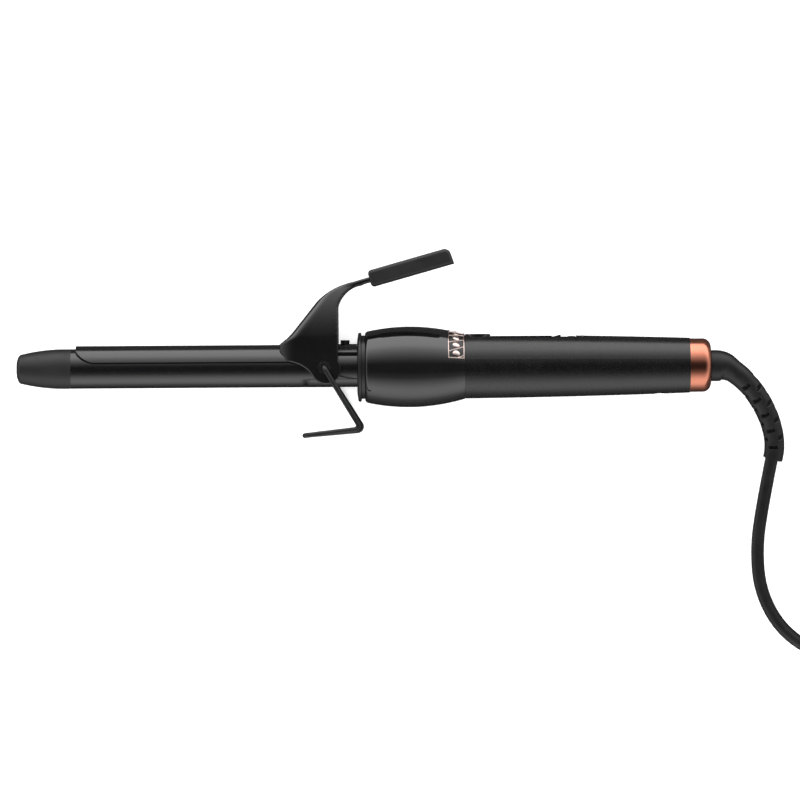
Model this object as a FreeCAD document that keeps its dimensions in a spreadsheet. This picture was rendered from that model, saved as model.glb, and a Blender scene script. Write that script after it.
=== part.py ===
import FreeCAD, Part
import Sketcher
import math
import os
from types import SimpleNamespace

# A curling iron lying on its side. Lengths are in millimetres.
# Every piece is drawn in the bench frame: x is the station along the barrel, from the end of the
# cool tip towards the cord, y points from the barrel's axis to the thumb lever, and z points to
# the side that faces up. frame_x, frame_y and frame_z then move each piece so that the origin is
# on the floor, under the middle of the iron without its cord.

DIMENSIONS = {
    # where the bench frame's origin goes
    "frame_x": -183.9,
    "frame_y": -5.9,
    "frame_z": 19.35,
    # clearances
    "running_gap": 0.05,
    "free_gap": 0.35,
    # barrel
    "barrel_radius": 9.5,
    "barrel_wall": 0.8,
    "barrel_end": 182.0,
    # cool tip
    "tip_length": 26.2,
    "tip_face_radius": 5.2,
    "tip_face_depth": 0.6,
    "tip_nose_length": 2.0,
    "tip_nose_radius": 7.0,
    "tip_taper_length": 20.6,
    "tip_flat_radius": 2.6,
    "tip_face_curve": 7.0,
    "tip_edge_curve": 2.6,
    "tip_taper_curve": 90.0,
    "tip_wall": 1.8,
    "tip_spigot_length": 10.0,
    # heater inside the barrel
    "heater_start": 44.0,
    "heater_length": 84.0,
    "heater_radius": 8.5,
    "heater_slot": 3.4,
    "sleeve_width": 13.4,
    "sleeve_wall": 0.2,
    "electrode_thickness": 0.4,
    "ceramic_length": 22.0,
    "ceramic_width": 11.0,
    "ceramic_pitch": 26.0,
    "electrode_overhang": 2.0,
    "fuse_gap": 4.0,
    "fuse_radius": 2.0,
    "fuse_length": 11.0,
    "lead_radius": 0.9,
    # clamp plate and its lever
    "pivot_x": 147.6,
    "clamp_start": 28.6,
    "clamp_end": 139.0,
    "clamp_inner_radius": 9.85,
    "clamp_outer_radius": 10.95,
    "clamp_wrap": 150.0,
    "clamp_corner_reach": 11.2,
    "clamp_corner_curve": 12.5,
    "ear_centre_x": 1.1,
    "ear_centre_y": -0.9,
    "ear_radius": 7.4,
    "ear_front_angle": 205.0,
    "ear_inner": 10.9,
    "ear_outer": 12.4,
    "ear_neck_curve": 15.0,
    "saddle_toe": 21.3,
    "saddle_toe_height": 11.1,
    "saddle_rise_x": 14.8,
    "saddle_rise_height": 16.9,
    "saddle_rise_curve": 29.0,
    "saddle_back": 7.0,
    "saddle_slope_x": 3.1,
    "saddle_slope_height": 31.7,
    "saddle_crest_x": 14.2,
    "saddle_crest_height": 41.0,
    "saddle_crest_curve": 33.6,
    "saddle_throat_x": 17.5,
    "saddle_throat_height": 39.1,
    "saddle_throat_low": 29.0,
    "saddle_throat_curve": 14.0,
    "saddle_flare_start": 9.0,
    "saddle_flare_width": 12.6,
    "saddle_flare_end": 39.0,
    "saddle_flare_curve": 71.5,
    "saddle_nose_width": 7.6,
    "saddle_nose_length": 12.0,
    "saddle_nose_curve": 17.3,
    "saddle_roof_front": 11.7,
    "saddle_roof_back": 20.0,
    "saddle_roof_half_width": 6.6,
    "saddle_step_height": 8.5,
    "saddle_step_back": 14.5,
    "saddle_step_half_width": 8.8,
    "saddle_edge_fillet": 3.5,
    "strap_half_width": 6.0,
    "strap_thickness": 2.6,
    "strap_length": 36.8,
    # thumb pad, drawn along its own slope from the middle of its lower end
    "pad_x": 22.0,
    "pad_height": 42.2,
    "pad_slope": 15.7,
    "pad_length": 40.6,
    "pad_half_thickness": 4.05,
    "pad_half_width": 7.2,
    "pad_strap_offset": -0.3,
    "pad_fillet": 1.8,
    "pad_end_curve": 3.2,
    "pad_end_lean": 0.6,
    # bracket that carries the pivot, its screw and the eyelets
    "bracket_start": 141.0,
    "bracket_end": 163.4,
    "bracket_outer_radius": 11.2,
    "bracket_wrap": 100.0,
    "bracket_band_half_width": 4.4,
    "bracket_band_radius": 10.5,
    "bracket_band_wrap": 236.0,
    "bracket_screw_x": 157.7,
    "bracket_screw_head_radius": 2.15,
    "bracket_screw_top": 13.0,
    "bracket_screw_radius": 1.4,
    "bracket_screw_depth": 6.4,
    "eyelet_bore": 1.4,
    "eyelet_radius": 2.2,
    "eyelet_head_radius": 3.2,
    "eyelet_head": 0.9,
    "eyelet_floor": 0.4,
    "spring_x": 1.5,
    "spring_radius": 2.5,
    "spring_wire_radius": 0.45,
    "spring_pitch": 2.0,
    "spring_base": 11.95,
    "spring_height": 11.0,
    "spring_pocket_radius": 3.6,
    "spring_pocket_top": 24.0,
    # wire stand
    "stand_wire_radius": 1.2,
    "stand_side": 15.1,
    "stand_corner_x": 17.6,
    "stand_corner_y": -29.5,
    "stand_foot_x": -9.3,
    "stand_foot_y": -32.6,
    "stand_twist_x": 1.5,
    "stand_twist_y": -0.8,
    "stand_bend": 2.0,
    "stand_hook_depth": 0.8,
    # heat shield and neck
    "shield_start": 163.5,
    "shield_end": 165.6,
    "shield_hub_radius": 12.6,
    "shield_rim_start": 163.95,
    "shield_rim_radius": 15.95,
    "shield_rim_curve": 0.84,
    "neck_end": 167.2,
    "neck_radius": 15.2,
    # front housing, the widest piece
    "bulge_x": 188.6,
    "bulge_radius": 19.35,
    "bulge_curve": 95.0,
    "housing_end": 215.2,
    "housing_end_radius": 15.46,
    "housing_nose_radius": 15.4,
    "housing_corner_x": 169.0,
    "housing_corner_radius": 17.29,
    "housing_corner_curve": 1.95,
    "housing_wall": 3.0,
    "housing_mouth_radius": 12.9,
    "housing_inner_radius": 16.4,
    "socket_end": 186.0,
    "socket_radius": 15.0,
    # gilt band around the lever side
    "band_start": 207.0,
    "band_end": 214.9,
    "band_floor_front": 16.3,
    "band_floor_back": 14.4,
    "band_top_front": 17.8,
    "band_top_back": 15.9,
    "band_curve": 95.0,
    "seam_angle": 154.0,
    # handle shells
    "handle_start": 215.3,
    "handle_end": 323.0,
    "handle_front_radius": 15.35,
    "handle_back_radius": 13.2,
    "handle_curve": 4200.0,
    "handle_front_inner": 12.7,
    "handle_back_inner": 10.5,
    "tongue_start": 209.0,
    "tongue_radius": 12.8,
    "tongue_inner": 11.4,
    "tail_end": 328.0,
    "tail_radius": 11.3,
    "tail_inner": 9.9,
    # controls on the lever side
    "power_x": 221.35,
    "bezel_outer": 5.85,
    "bezel_inner": 4.95,
    "bezel_foot": 12.6,
    "bezel_top": 15.6,
    "power_radius": 4.6,
    "power_top": 14.95,
    "power_flange_radius": 5.5,
    "power_flange_top": 12.25,
    "button_flange": 1.0,
    "stem_radius": 1.4,
    "stem_bottom": 10.4,
    "panel_start": 227.4,
    "panel_end": 256.9,
    "panel_height": 13.8,
    "window_start": 231.0,
    "window_end": 253.0,
    "window_half_width": 4.0,
    "lens_half_width": 5.0,
    "lens_top": 14.55,
    "recess_end": 268.6,
    "recess_floor": 12.9,
    "recess_half_width": 4.3,
    "key_half_width": 3.9,
    "key_foot": 13.5,
    "plus_start": 257.25,
    "plus_length": 3.9,
    "plus_low": 13.95,
    "plus_high": 15.05,
    "minus_start": 264.6,
    "minus_length": 3.5,
    "minus_top": 14.3,
    # circuit board
    "board_start": 216.6,
    "board_end": 299.0,
    "board_half_width": 8.0,
    "board_bottom": 4.4,
    "board_top": 6.0,
    "module_top": 13.0,
    "module_gap": 0.4,
    "switch_size": 5.0,
    "switch_top": 9.0,
    "plunger_radius": 1.3,
    "plunger_top": 9.5,
    "post_front_x": 226.4,
    "post_back_x": 274.0,
    "post_side": 6.2,
    "post_radius": 1.3,
    "post_top": 11.9,
    "board_screw_radius": 0.7,
    "board_screw_head": 1.4,
    "board_screw_end": 9.0,
    # screw that joins the shells
    "shell_screw_x": 308.5,
    "shell_boss_radius": 3.1,
    "shell_boss_top": 11.4,
    "shell_boss_bottom": -11.4,
    "shell_boss_split": 1.6,
    "shell_screw_radius": 1.25,
    "shell_screw_head_radius": 2.5,
    "shell_screw_seat": -9.2,
    "shell_screw_head": 1.7,
    # copper end cap
    "cap_end": 333.1,
    "cap_radius": 12.85,
    "cap_corner": 4.0,
    "cap_wall": 1.7,
    "cap_hole_radius": 7.8,
    # cord swivel
    "swivel_start": 320.0,
    "swivel_plate": 1.6,
    "swivel_radius": 9.85,
    "swivel_sleeve": 9.35,
    "hub_flange_start": 328.0,
    "hub_flange_end": 331.0,
    "hub_flange_radius": 9.0,
    "hub_neck_radius": 7.45,
    "ring_thickness": 0.8,
    "ring_half_width": 0.9,
    "inner_ring_radius": 3.4,
    "outer_ring_radius": 6.8,
    "brush_radius": 0.8,
    # strain relief
    "relief_root_radius": 7.5,
    "relief_root_end": 338.8,
    "relief_curve_x": 317.0,
    "relief_curve_y": -41.0,
    "relief_curve_radius": 46.0,
    "relief_first_angle": 63.0,
    "relief_last_angle": -5.4,
    "relief_end_radius": 4.75,
    "relief_taper": 0.85,
    "relief_flare": 1.3,
    "relief_flare_power": 12.0,
    "relief_end_height": 7.2,
    # cord, coil, tie and plug; heights are above the floor
    "cord_radius": 3.1,
    "coil_x": 430.0,
    "coil_y": -105.1,
    "coil_radius": 35.0,
    "coil_half_width": 9.3,
    "coil_height": 16.9,
    "coil_chamfer": 4.0,
    "tie_half_width": 4.0,
    "tie_thickness": 0.9,
    "tie_angle": 135.0,
    "plug_x": 471.2,
    "plug_rear_y": -62.0,
    "plug_body_y": -48.0,
    "plug_shoulder_y": -29.3,
    "plug_front_y": -14.0,
    "plug_height": 13.7,
    "plug_half_width": 17.65,
    "plug_rear_half_width": 7.0,
    "plug_relief_rear": 4.4,
    "plug_relief_front": 5.6,
    "pin_radius": 2.0,
    "pin_length": 19.0,
    "pin_side": 9.5,
}

doc = FreeCAD.newDocument("CurlingIron")
sheet = doc.addObject("Spreadsheet::Sheet", "Sizes")
for row, (alias, number) in enumerate(DIMENSIONS.items(), start=1):
    sheet.set(f"A{row}", alias)
    sheet.set(f"B{row}", str(number))
    sheet.setAlias(f"B{row}", alias)
doc.recompute()


class Size:
    """A length of the sheet, or a sum or product of such: its value, and its expression text."""

    def __init__(self, value, text):
        self.value = value
        self.text = text

    def joined(self, other, sign, value, flipped=False):
        other_text = other.text if isinstance(other, Size) else repr(other)
        first, second = (other_text, self.text) if flipped else (self.text, other_text)
        return Size(value, f"({first} {sign} {second})")

    def __add__(self, other):
        return self.joined(other, "+", self.value + number_of(other))

    def __sub__(self, other):
        return self.joined(other, "-", self.value - number_of(other))

    def __mul__(self, other):
        return self.joined(other, "*", self.value * number_of(other))

    def __truediv__(self, other):
        return self.joined(other, "/", self.value / number_of(other))

    def __rsub__(self, other):
        return self.joined(other, "-", number_of(other) - self.value, flipped=True)

    def __neg__(self):
        return Size(-self.value, f"(0 - {self.text})")

    __radd__ = __add__
    __rmul__ = __mul__


def number_of(size):
    return size.value if isinstance(size, Size) else float(size)


def text_of(size):
    return size.text if isinstance(size, Size) else repr(float(size))


dim = SimpleNamespace(**{name: Size(sheet.get(name), f"Sizes.{name}") for name in DIMENSIONS})
sub_parts = []


# ---------------------------------------------------------------- helpers

def into_frame(item, label, offset=(0, 0, 0)):
    """Label a finished sub-part and move it from the bench frame to the iron's own frame."""
    item.Label = label
    frame = (dim.frame_x, dim.frame_y, dim.frame_z)
    for side, start, shift in zip("xyz", frame, offset):
        item.setExpression(f"Placement.Base.{side}", text_of(start + shift))
    sub_parts.append(item)
    return item


def body_for(label):
    return into_frame(doc.addObject("PartDesign::Body", "Body"), label)


def new_sketch(body, plane, shift=(0, 0, 0), turn=0):
    """An empty sketch on an origin plane, shifted and turned within that plane's own axes."""
    sketch = body.newObject("Sketcher::SketchObject", "Sketch")
    face = next(item for item in body.Origin.OriginFeatures if item.Role == plane)
    sketch.AttachmentSupport = (face, [""])
    sketch.MapMode = "FlatFace"
    upright = FreeCAD.Vector(0, 0, 1)
    start = FreeCAD.Vector(*[number_of(value) for value in shift])
    sketch.AttachmentOffset = FreeCAD.Placement(start, FreeCAD.Rotation(upright, number_of(turn)))
    for side, value in zip("xyz", shift):
        sketch.setExpression(f"AttachmentOffset.Base.{side}", text_of(value))
    if number_of(turn):
        sketch.setExpression("AttachmentOffset.Rotation.Angle", text_of(turn))
    return sketch


def pin_down(sketch, geometry, vertex, corner):
    """Hold one corner at its distances from the sketch's origin."""
    for kind, value in zip(("DistanceX", "DistanceY"), corner):
        constraint = Sketcher.Constraint(kind, -1, 1, geometry, vertex, number_of(value))
        index = sketch.addConstraint(constraint)
        sketch.setExpression(f"Constraints[{index}]", text_of(value))


def arc_between(start, end, radius):
    """The short arc from start to end: it turns left for a positive radius, right for a negative."""
    chord = end - start
    half = chord.Length / 2
    left = FreeCAD.Vector(-chord.y, chord.x, 0).normalize()
    depth = math.sqrt(max(radius * radius - half * half, 0.0))
    centre = (start + end) * 0.5 + left * math.copysign(depth, radius)
    first, last = (start, end) if radius > 0 else (end, start)
    angles = [math.atan2(point.y - centre.y, point.x - centre.x) for point in (first, last)]
    if angles[1] <= angles[0]:
        angles[1] += 2 * math.pi
    circle = Part.Circle(centre, FreeCAD.Vector(0, 0, 1), abs(radius))
    return Part.ArcOfCircle(circle, angles[0], angles[1])


def draw_outline(sketch, corners):
    """A closed outline. A third number in a corner makes the edge that arrives there an arc."""
    count = len(corners)
    points = [FreeCAD.Vector(number_of(c[0]), number_of(c[1]), 0) for c in corners]
    leaving = []
    for index in range(count):
        target = (index + 1) % count
        radius = corners[target][2] if len(corners[target]) == 3 else None
        if radius is None:
            geometry = sketch.addGeometry(Part.LineSegment(points[index], points[target]))
            leaving.append((geometry, 1, 2))
        else:
            arc = arc_between(points[index], points[target], number_of(radius))
            geometry = sketch.addGeometry(arc)
            turns_left = number_of(radius) > 0
            leaving.append((geometry, 1, 2) if turns_left else (geometry, 2, 1))
    for index in range(count):
        geometry, start, end = leaving[index]
        following, next_start, _ = leaving[(index + 1) % count]
        sketch.addConstraint(Sketcher.Constraint("Coincident", geometry, end, following, next_start))
        pin_down(sketch, geometry, start, corners[index])
        target = corners[(index + 1) % count]
        if len(target) == 3:
            reach = target[2] if number_of(target[2]) > 0 else -target[2]
            constraint = Sketcher.Constraint("Radius", geometry, number_of(reach))
            number = sketch.addConstraint(constraint)
            sketch.setExpression(f"Constraints[{number}]", text_of(reach))


def draw_rectangle(sketch, low, high):
    draw_outline(sketch, [low, (high[0], low[1]), high, (low[0], high[1])])


def draw_circle(sketch, centre, radius):
    middle = FreeCAD.Vector(number_of(centre[0]), number_of(centre[1]), 0)
    circle = Part.Circle(middle, FreeCAD.Vector(0, 0, 1), number_of(radius))
    geometry = sketch.addGeometry(circle)
    pin_down(sketch, geometry, 3, centre)
    number = sketch.addConstraint(Sketcher.Constraint("Radius", geometry, number_of(radius)))
    sketch.setExpression(f"Constraints[{number}]", text_of(radius))


def finish_feature(body, feature, sketch):
    sketch.Visibility = False
    doc.recompute()
    if "Up-to-date" not in feature.State and feature.State:
        raise RuntimeError(f"{body.Label}: {feature.Name} is {feature.State}")
    return feature


def revolve(body, corners, wrap=360.0, facing=0):
    """Turn an outline of (station, radius) corners about the barrel's axis.

    A part turn is centred on the lever side, or on the far side with facing=180.
    """
    sketch = new_sketch(body, "XY_Plane")
    if facing:
        corners = [(c[0], -c[1]) + tuple(-r for r in c[2:]) for c in corners]
    draw_outline(sketch, corners)
    turned = body.newObject("PartDesign::Revolution", "Revolution")
    turned.Profile = sketch
    turned.ReferenceAxis = (sketch, ["H_Axis"])
    turned.Midplane = number_of(wrap) < 360
    turned.setExpression("Angle", text_of(wrap))
    return finish_feature(body, turned, sketch)


def groove(body, corners, wrap=360.0):
    """Cut an outline of (station, radius) corners out of a body, centred on the lever side."""
    before = body.Shape.Volume
    sketch = new_sketch(body, "XY_Plane")
    draw_outline(sketch, corners)
    cut = body.newObject("PartDesign::Groove", "Groove")
    cut.Profile = sketch
    cut.ReferenceAxis = (sketch, ["H_Axis"])
    cut.Midplane = number_of(wrap) < 360
    cut.setExpression("Angle", text_of(wrap))
    finish_feature(body, cut, sketch)
    check_cut(body, before)


def check_cut(body, before):
    if not body.Shape.Volume < before - 1e-6:
        raise RuntimeError(f"{body.Label}: a cut removed nothing")


def pad_across(body, corners, width, shift=(0, 0, 0), turn=0):
    """Pad a side outline (station, height) by the width, half to each side of the axis."""
    sketch = new_sketch(body, "XY_Plane", shift, turn)
    draw_outline(sketch, corners)
    pad = body.newObject("PartDesign::Pad", "Pad")
    pad.Profile = sketch
    pad.SideType = "Symmetric"
    pad.setExpression("Length", text_of(width))
    return finish_feature(body, pad, sketch)


def pocket_across(body, corners, width, shift=(0, 0, 0), turn=0):
    """Cut a side outline right across, half the width to each side of the axis."""
    before = body.Shape.Volume
    sketch = new_sketch(body, "XY_Plane", shift, turn)
    draw_outline(sketch, corners)
    cut = body.newObject("PartDesign::Pocket", "Pocket")
    cut.Profile = sketch
    cut.SideType = "Symmetric"
    cut.setExpression("Length", text_of(width))
    finish_feature(body, cut, sketch)
    check_cut(body, before)


def rise_from(body, kind, height, length, draw):
    """Pad or pocket a plan outline (station, z) from a height towards the lever, by the length."""
    before = body.Shape.Volume if body.Tip else 0.0
    sketch = new_sketch(body, "XZ_Plane", (0, 0, -height))
    draw(sketch)
    feature = body.newObject(f"PartDesign::{kind}", kind)
    feature.Profile = sketch
    feature.Reversed = kind == "Pad"
    feature.setExpression("Length", text_of(length))
    finish_feature(body, feature, sketch)
    if kind == "Pocket":
        check_cut(body, before)
    return feature


def pad_up(body, low, high, draw):
    return rise_from(body, "Pad", low, high - low, draw)


def pocket_up(body, low, high, draw):
    return rise_from(body, "Pocket", low, high - low, draw)


def pad_along(body, start, end, draw):
    """Pad a cross-section (y, z) along the barrel from one station to another."""
    sketch = new_sketch(body, "YZ_Plane", (0, 0, start))
    draw(sketch)
    pad = body.newObject("PartDesign::Pad", "Pad")
    pad.Profile = sketch
    pad.setExpression("Length", text_of(end - start))
    return finish_feature(body, pad, sketch)


def pocket_along(body, start, end, draw):
    """Cut a cross-section (y, z) along the barrel from one station to another."""
    before = body.Shape.Volume
    sketch = new_sketch(body, "YZ_Plane", (0, 0, start))
    draw(sketch)
    cut = body.newObject("PartDesign::Pocket", "Pocket")
    cut.Profile = sketch
    cut.Reversed = True
    cut.setExpression("Length", text_of(end - start))
    finish_feature(body, cut, sketch)
    check_cut(body, before)


def round_edges(body, radius, wanted):
    """Fillet the edges of the body so far for which wanted(edge) is true."""
    base = body.Tip
    names = [f"Edge{n}" for n, edge in enumerate(base.Shape.Edges, start=1) if wanted(edge)]
    if not names:
        raise RuntimeError(f"{body.Label}: no edge to round")
    fillet = body.newObject("PartDesign::Fillet", "Fillet")
    fillet.Base = (base, names)
    fillet.setExpression("Radius", text_of(radius))
    doc.recompute()
    if not fillet.Shape.isValid() or fillet.Shape.isNull():
        raise RuntimeError(f"{body.Label}: the fillet failed")


def box(low, high):
    """A Part::Box from its lowest to its highest corner, in the bench frame."""
    item = doc.addObject("Part::Box", "Box")
    for name, start, end in zip(("Length", "Width", "Height"), low, high):
        item.setExpression(name, text_of(end - start))
    for side, start in zip("xyz", low):
        item.setExpression(f"Placement.Base.{side}", text_of(start))
    return item


def cylinder(foot, axis, radius, length):
    """A Part::Cylinder that stands on foot and runs along the axis "x", "y" or "z"."""
    item = doc.addObject("Part::Cylinder", "Cylinder")
    item.setExpression("Radius", text_of(radius))
    item.setExpression("Height", text_of(length))
    turns = {
        "x": FreeCAD.Rotation(FreeCAD.Vector(0, 1, 0), 90),
        "y": FreeCAD.Rotation(FreeCAD.Vector(1, 0, 0), -90),
        "z": FreeCAD.Rotation(),
    }
    item.Placement = FreeCAD.Placement(FreeCAD.Vector(), turns[axis])
    for side, start in zip("xyz", foot):
        item.setExpression(f"Placement.Base.{side}", text_of(start))
    return item


def group(label, items):
    """Several separate solids that make one sub-part."""
    compound = doc.addObject("Part::Compound", "Group")
    compound.Links = items
    return into_frame(compound, label)


def joined(items):
    fused = doc.addObject("Part::MultiFuse", "Joined")
    fused.Shapes = items
    return fused


def minus(base, tool):
    cut = doc.addObject("Part::Cut", "Cut")
    cut.Base = base
    cut.Tool = tool
    return cut


def free_shape(label, shape):
    """A sub-part whose shape comes from Part's own functions."""
    feature = doc.addObject("Part::Feature", "Shape")
    feature.Shape = Part.makeCompound([shape])
    return into_frame(feature, label)


def rounded_path(points, bend=None):
    """Straight runs joined by tangent arcs, all with the bend radius if one is given.

    Otherwise each arc is as large as its two runs allow. Gives the wire and the arcs' radii.
    """
    edges = []
    radii = []
    here = points[0]
    for before, corner, after in zip(points, points[1:], points[2:]):
        back = before - corner
        ahead = after - corner
        half_turn = (math.pi - back.getAngle(ahead)) / 2
        radius = bend or 0.45 * min(back.Length, ahead.Length) / math.tan(half_turn)
        reach = radius * math.tan(half_turn)
        start = corner + back.normalize() * reach
        end = corner + ahead.normalize() * reach
        inward = (back + ahead).normalize()
        middle = corner + inward * (radius / math.cos(half_turn) - radius)
        edges.append(Part.LineSegment(here, start).toShape())
        edges.append(Part.Arc(start, middle, end).toShape())
        radii.append(radius)
        here = end
    edges.append(Part.LineSegment(here, points[-1]).toShape())
    return Part.Wire(edges), radii


def swept_tube(points, radius, bend=None):
    """A round wire or cord of the given radius along a rounded path."""
    path, radii = rounded_path(points, bend)
    circle = Part.Circle(points[0], points[1] - points[0], radius)
    tube = path.makePipeShell([Part.Wire(circle.toShape())], True, True)
    return tube, path.Length, radii


# ---------------------------------------------------------------- barrel and heater

tip_cap = body_for("tip_cap")
revolve(tip_cap, [
    (0, 0),
    (0, dim.tip_flat_radius),
    (dim.tip_face_depth, dim.tip_face_radius, -dim.tip_face_curve),
    (dim.tip_nose_length, dim.tip_nose_radius, -dim.tip_edge_curve),
    (dim.tip_taper_length, dim.barrel_radius, -dim.tip_taper_curve),
    (dim.tip_length, dim.barrel_radius),
    (dim.tip_length, dim.barrel_radius - dim.barrel_wall),
    (dim.tip_length + dim.tip_spigot_length, dim.barrel_radius - dim.barrel_wall),
    (dim.tip_length + dim.tip_spigot_length, dim.barrel_radius - dim.barrel_wall - dim.tip_wall),
    (dim.tip_taper_length, dim.barrel_radius - dim.barrel_wall - dim.tip_wall),
    (dim.tip_nose_length + dim.tip_wall, dim.tip_face_radius - dim.tip_wall),
    (dim.tip_nose_length + dim.tip_wall, 0),
])

barrel_tube = body_for("barrel_tube")
revolve(barrel_tube, [
    (dim.tip_length, dim.barrel_radius - dim.barrel_wall),
    (dim.tip_length, dim.barrel_radius),
    (dim.barrel_end, dim.barrel_radius),
    (dim.barrel_end, dim.barrel_radius - dim.barrel_wall),
])
pocket_up(
    barrel_tube,
    dim.bracket_screw_depth - 1,
    dim.bracket_outer_radius,
    lambda sketch: draw_circle(sketch, (dim.bracket_screw_x, 0), dim.bracket_screw_radius),
)


def heater_half(label, side):
    """One of the two half-round aluminium blocks that press the ceramics to the barrel."""
    flat = dim.heater_slot / 2
    edge = math.sqrt(dim.heater_radius.value ** 2 - flat.value ** 2)
    section = [
        (side * flat, -side * edge),
        (side * dim.heater_radius, 0, dim.heater_radius),
        (side * flat, side * edge, dim.heater_radius),
    ]
    body = body_for(label)
    pad_along(
        body,
        dim.heater_start,
        dim.heater_start + dim.heater_length,
        lambda sketch: draw_outline(sketch, section),
    )


heater_half("heater_block_upper", 1)
heater_half("heater_block_lower", -1)

heater_end = dim.heater_start + dim.heater_length
ceramic_half = dim.heater_slot / 2 - dim.sleeve_wall - dim.electrode_thickness
first_ceramic = dim.heater_start + (dim.heater_length - 2 * dim.ceramic_pitch - dim.ceramic_length) / 2
group("ceramic_heaters", [
    box(
        (first_ceramic + step * dim.ceramic_pitch, -ceramic_half, -dim.ceramic_width / 2),
        (first_ceramic + step * dim.ceramic_pitch + dim.ceramic_length, ceramic_half,
         dim.ceramic_width / 2),
    )
    for step in range(3)
])
group("electrode_strips", [
    box(
        (dim.heater_start + dim.electrode_overhang, low, -dim.ceramic_width / 2),
        (heater_end + dim.electrode_overhang, low + dim.electrode_thickness, dim.ceramic_width / 2),
    )
    for low in (ceramic_half, -ceramic_half - dim.electrode_thickness)
])
sleeve_half = dim.heater_slot / 2
into_frame(minus(
    box((dim.heater_start, -sleeve_half, -dim.sleeve_width / 2),
        (heater_end, sleeve_half, dim.sleeve_width / 2)),
    box((dim.heater_start - 1, dim.sleeve_wall - sleeve_half, dim.sleeve_wall - dim.sleeve_width / 2),
        (heater_end + 1, sleeve_half - dim.sleeve_wall, dim.sleeve_width / 2 - dim.sleeve_wall)),
), "insulating_sleeve")
group("thermal_fuse", [
    cylinder((heater_end + dim.fuse_gap, dim.fuse_radius * 2, 0), "x", dim.fuse_radius, dim.fuse_length),
])

# ---------------------------------------------------------------- clamp, lever and pivot

clamp_plate = body_for("clamp_plate")
revolve(clamp_plate, [
    (dim.clamp_start, dim.clamp_inner_radius),
    (dim.clamp_start, dim.clamp_outer_radius),
    (dim.clamp_end, dim.clamp_outer_radius),
    (dim.clamp_end, dim.clamp_inner_radius),
], dim.clamp_wrap)
side_edge = clamp_plate.Shape.BoundBox.YMin - dim.frame_y.value
pocket_across(clamp_plate, [
    (dim.clamp_start - 1, side_edge - 1),
    (dim.clamp_start + dim.clamp_corner_reach, side_edge - 1),
    (dim.clamp_start + dim.clamp_corner_reach, side_edge),
    (dim.clamp_start, dim.clamp_outer_radius * 0.8, -dim.clamp_corner_curve),
    (dim.clamp_start - 1, dim.clamp_outer_radius * 0.8),
], dim.clamp_outer_radius * 3)

lever_saddle = body_for("lever_saddle")
ear_front = math.radians(dim.ear_front_angle.value)
ear_low_x = dim.ear_centre_x + dim.ear_radius * math.cos(ear_front)
ear_low_y = dim.ear_centre_y + dim.ear_radius * math.sin(ear_front)
ear_bottom = dim.ear_centre_y - dim.ear_radius
ear_reach = dim.saddle_back.value - dim.ear_centre_x.value
ear_chord = dim.ear_centre_y + math.sqrt(dim.ear_radius.value ** 2 - ear_reach ** 2)
pad_across(lever_saddle, [
    (-dim.saddle_toe, side_edge - 0.4, dim.ear_neck_curve),
    (-dim.saddle_toe, dim.saddle_toe_height),
    (-dim.saddle_rise_x, dim.saddle_rise_height, dim.saddle_rise_curve),
    (-dim.saddle_slope_x, dim.saddle_slope_height),
    (dim.saddle_crest_x, dim.saddle_crest_height, -dim.saddle_crest_curve),
    (dim.saddle_crest_x + 4, dim.saddle_crest_height + 1.1),
    (dim.saddle_throat_x + 1, dim.saddle_throat_height),
    (dim.saddle_throat_x, dim.saddle_throat_height),
    (dim.saddle_back, dim.saddle_throat_low, dim.saddle_throat_curve),
    (dim.saddle_back, ear_chord),
    (dim.ear_centre_x, ear_bottom, -dim.ear_radius),
    (ear_low_x, ear_low_y, -dim.ear_radius),
], dim.ear_outer * 2, (dim.pivot_x, 0, 0))
saddle_top = dim.saddle_crest_height + 5
saddle_nose = dim.pivot_x - dim.saddle_toe - 1
beyond_saddle = dim.saddle_flare_width + 1
for side in (1, -1):
    beside_flare = [
        (dim.saddle_flare_start, side * dim.saddle_flare_width),
        (dim.saddle_flare_end, side * dim.strap_half_width, -side * dim.saddle_flare_curve),
        (saddle_top, side * dim.strap_half_width),
        (saddle_top, side * beyond_saddle),
        (dim.saddle_flare_start, side * beyond_saddle),
    ]
    pocket_along(
        lever_saddle,
        saddle_nose,
        dim.pivot_x + dim.saddle_throat_x + 10,
        lambda sketch: draw_outline(sketch, beside_flare),
    )


def on_front_slope(edge):
    """The two long edges of the saddle's front slope, and the crest that continues them."""
    box_here = edge.BoundBox
    off_centre = abs(box_here.Center.z) > dim.strap_half_width.value - 1
    long_enough = box_here.YLength > 8
    in_front = box_here.Center.x < dim.pivot_x.value + 3
    rising = box_here.XLength > 3 and box_here.Center.y > 12
    return off_centre and long_enough and in_front and rising


round_edges(lever_saddle, dim.saddle_edge_fillet, on_front_slope)
pad_across(lever_saddle, [
    (-6, dim.pad_strap_offset - dim.strap_thickness / 2),
    (-6, dim.pad_strap_offset + dim.strap_thickness / 2),
    (dim.strap_length, dim.pad_strap_offset + dim.strap_thickness / 2),
    (dim.strap_length, dim.pad_strap_offset - dim.strap_thickness / 2),
], dim.strap_half_width * 2, (dim.pivot_x + dim.pad_x, dim.pad_height, 0), dim.pad_slope)
pocket_along(
    lever_saddle,
    saddle_nose,
    dim.clamp_end,
    lambda sketch: draw_circle(sketch, (0, 0), dim.clamp_outer_radius),
)
nose_back = saddle_nose + dim.saddle_nose_length
for side in (1, -1):
    beside_nose = [
        (saddle_nose, side * dim.saddle_nose_width),
        (nose_back, side * (dim.ear_outer + dim.free_gap), -side * dim.saddle_nose_curve),
        (nose_back, side * beyond_saddle),
        (saddle_nose, side * beyond_saddle),
    ]
    pocket_up(
        lever_saddle,
        side_edge - 1,
        saddle_top,
        lambda sketch: draw_outline(sketch, beside_nose),
    )
hollow_front = dim.clamp_end - dim.pivot_x
hollow_back = dim.saddle_back + 2
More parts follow.
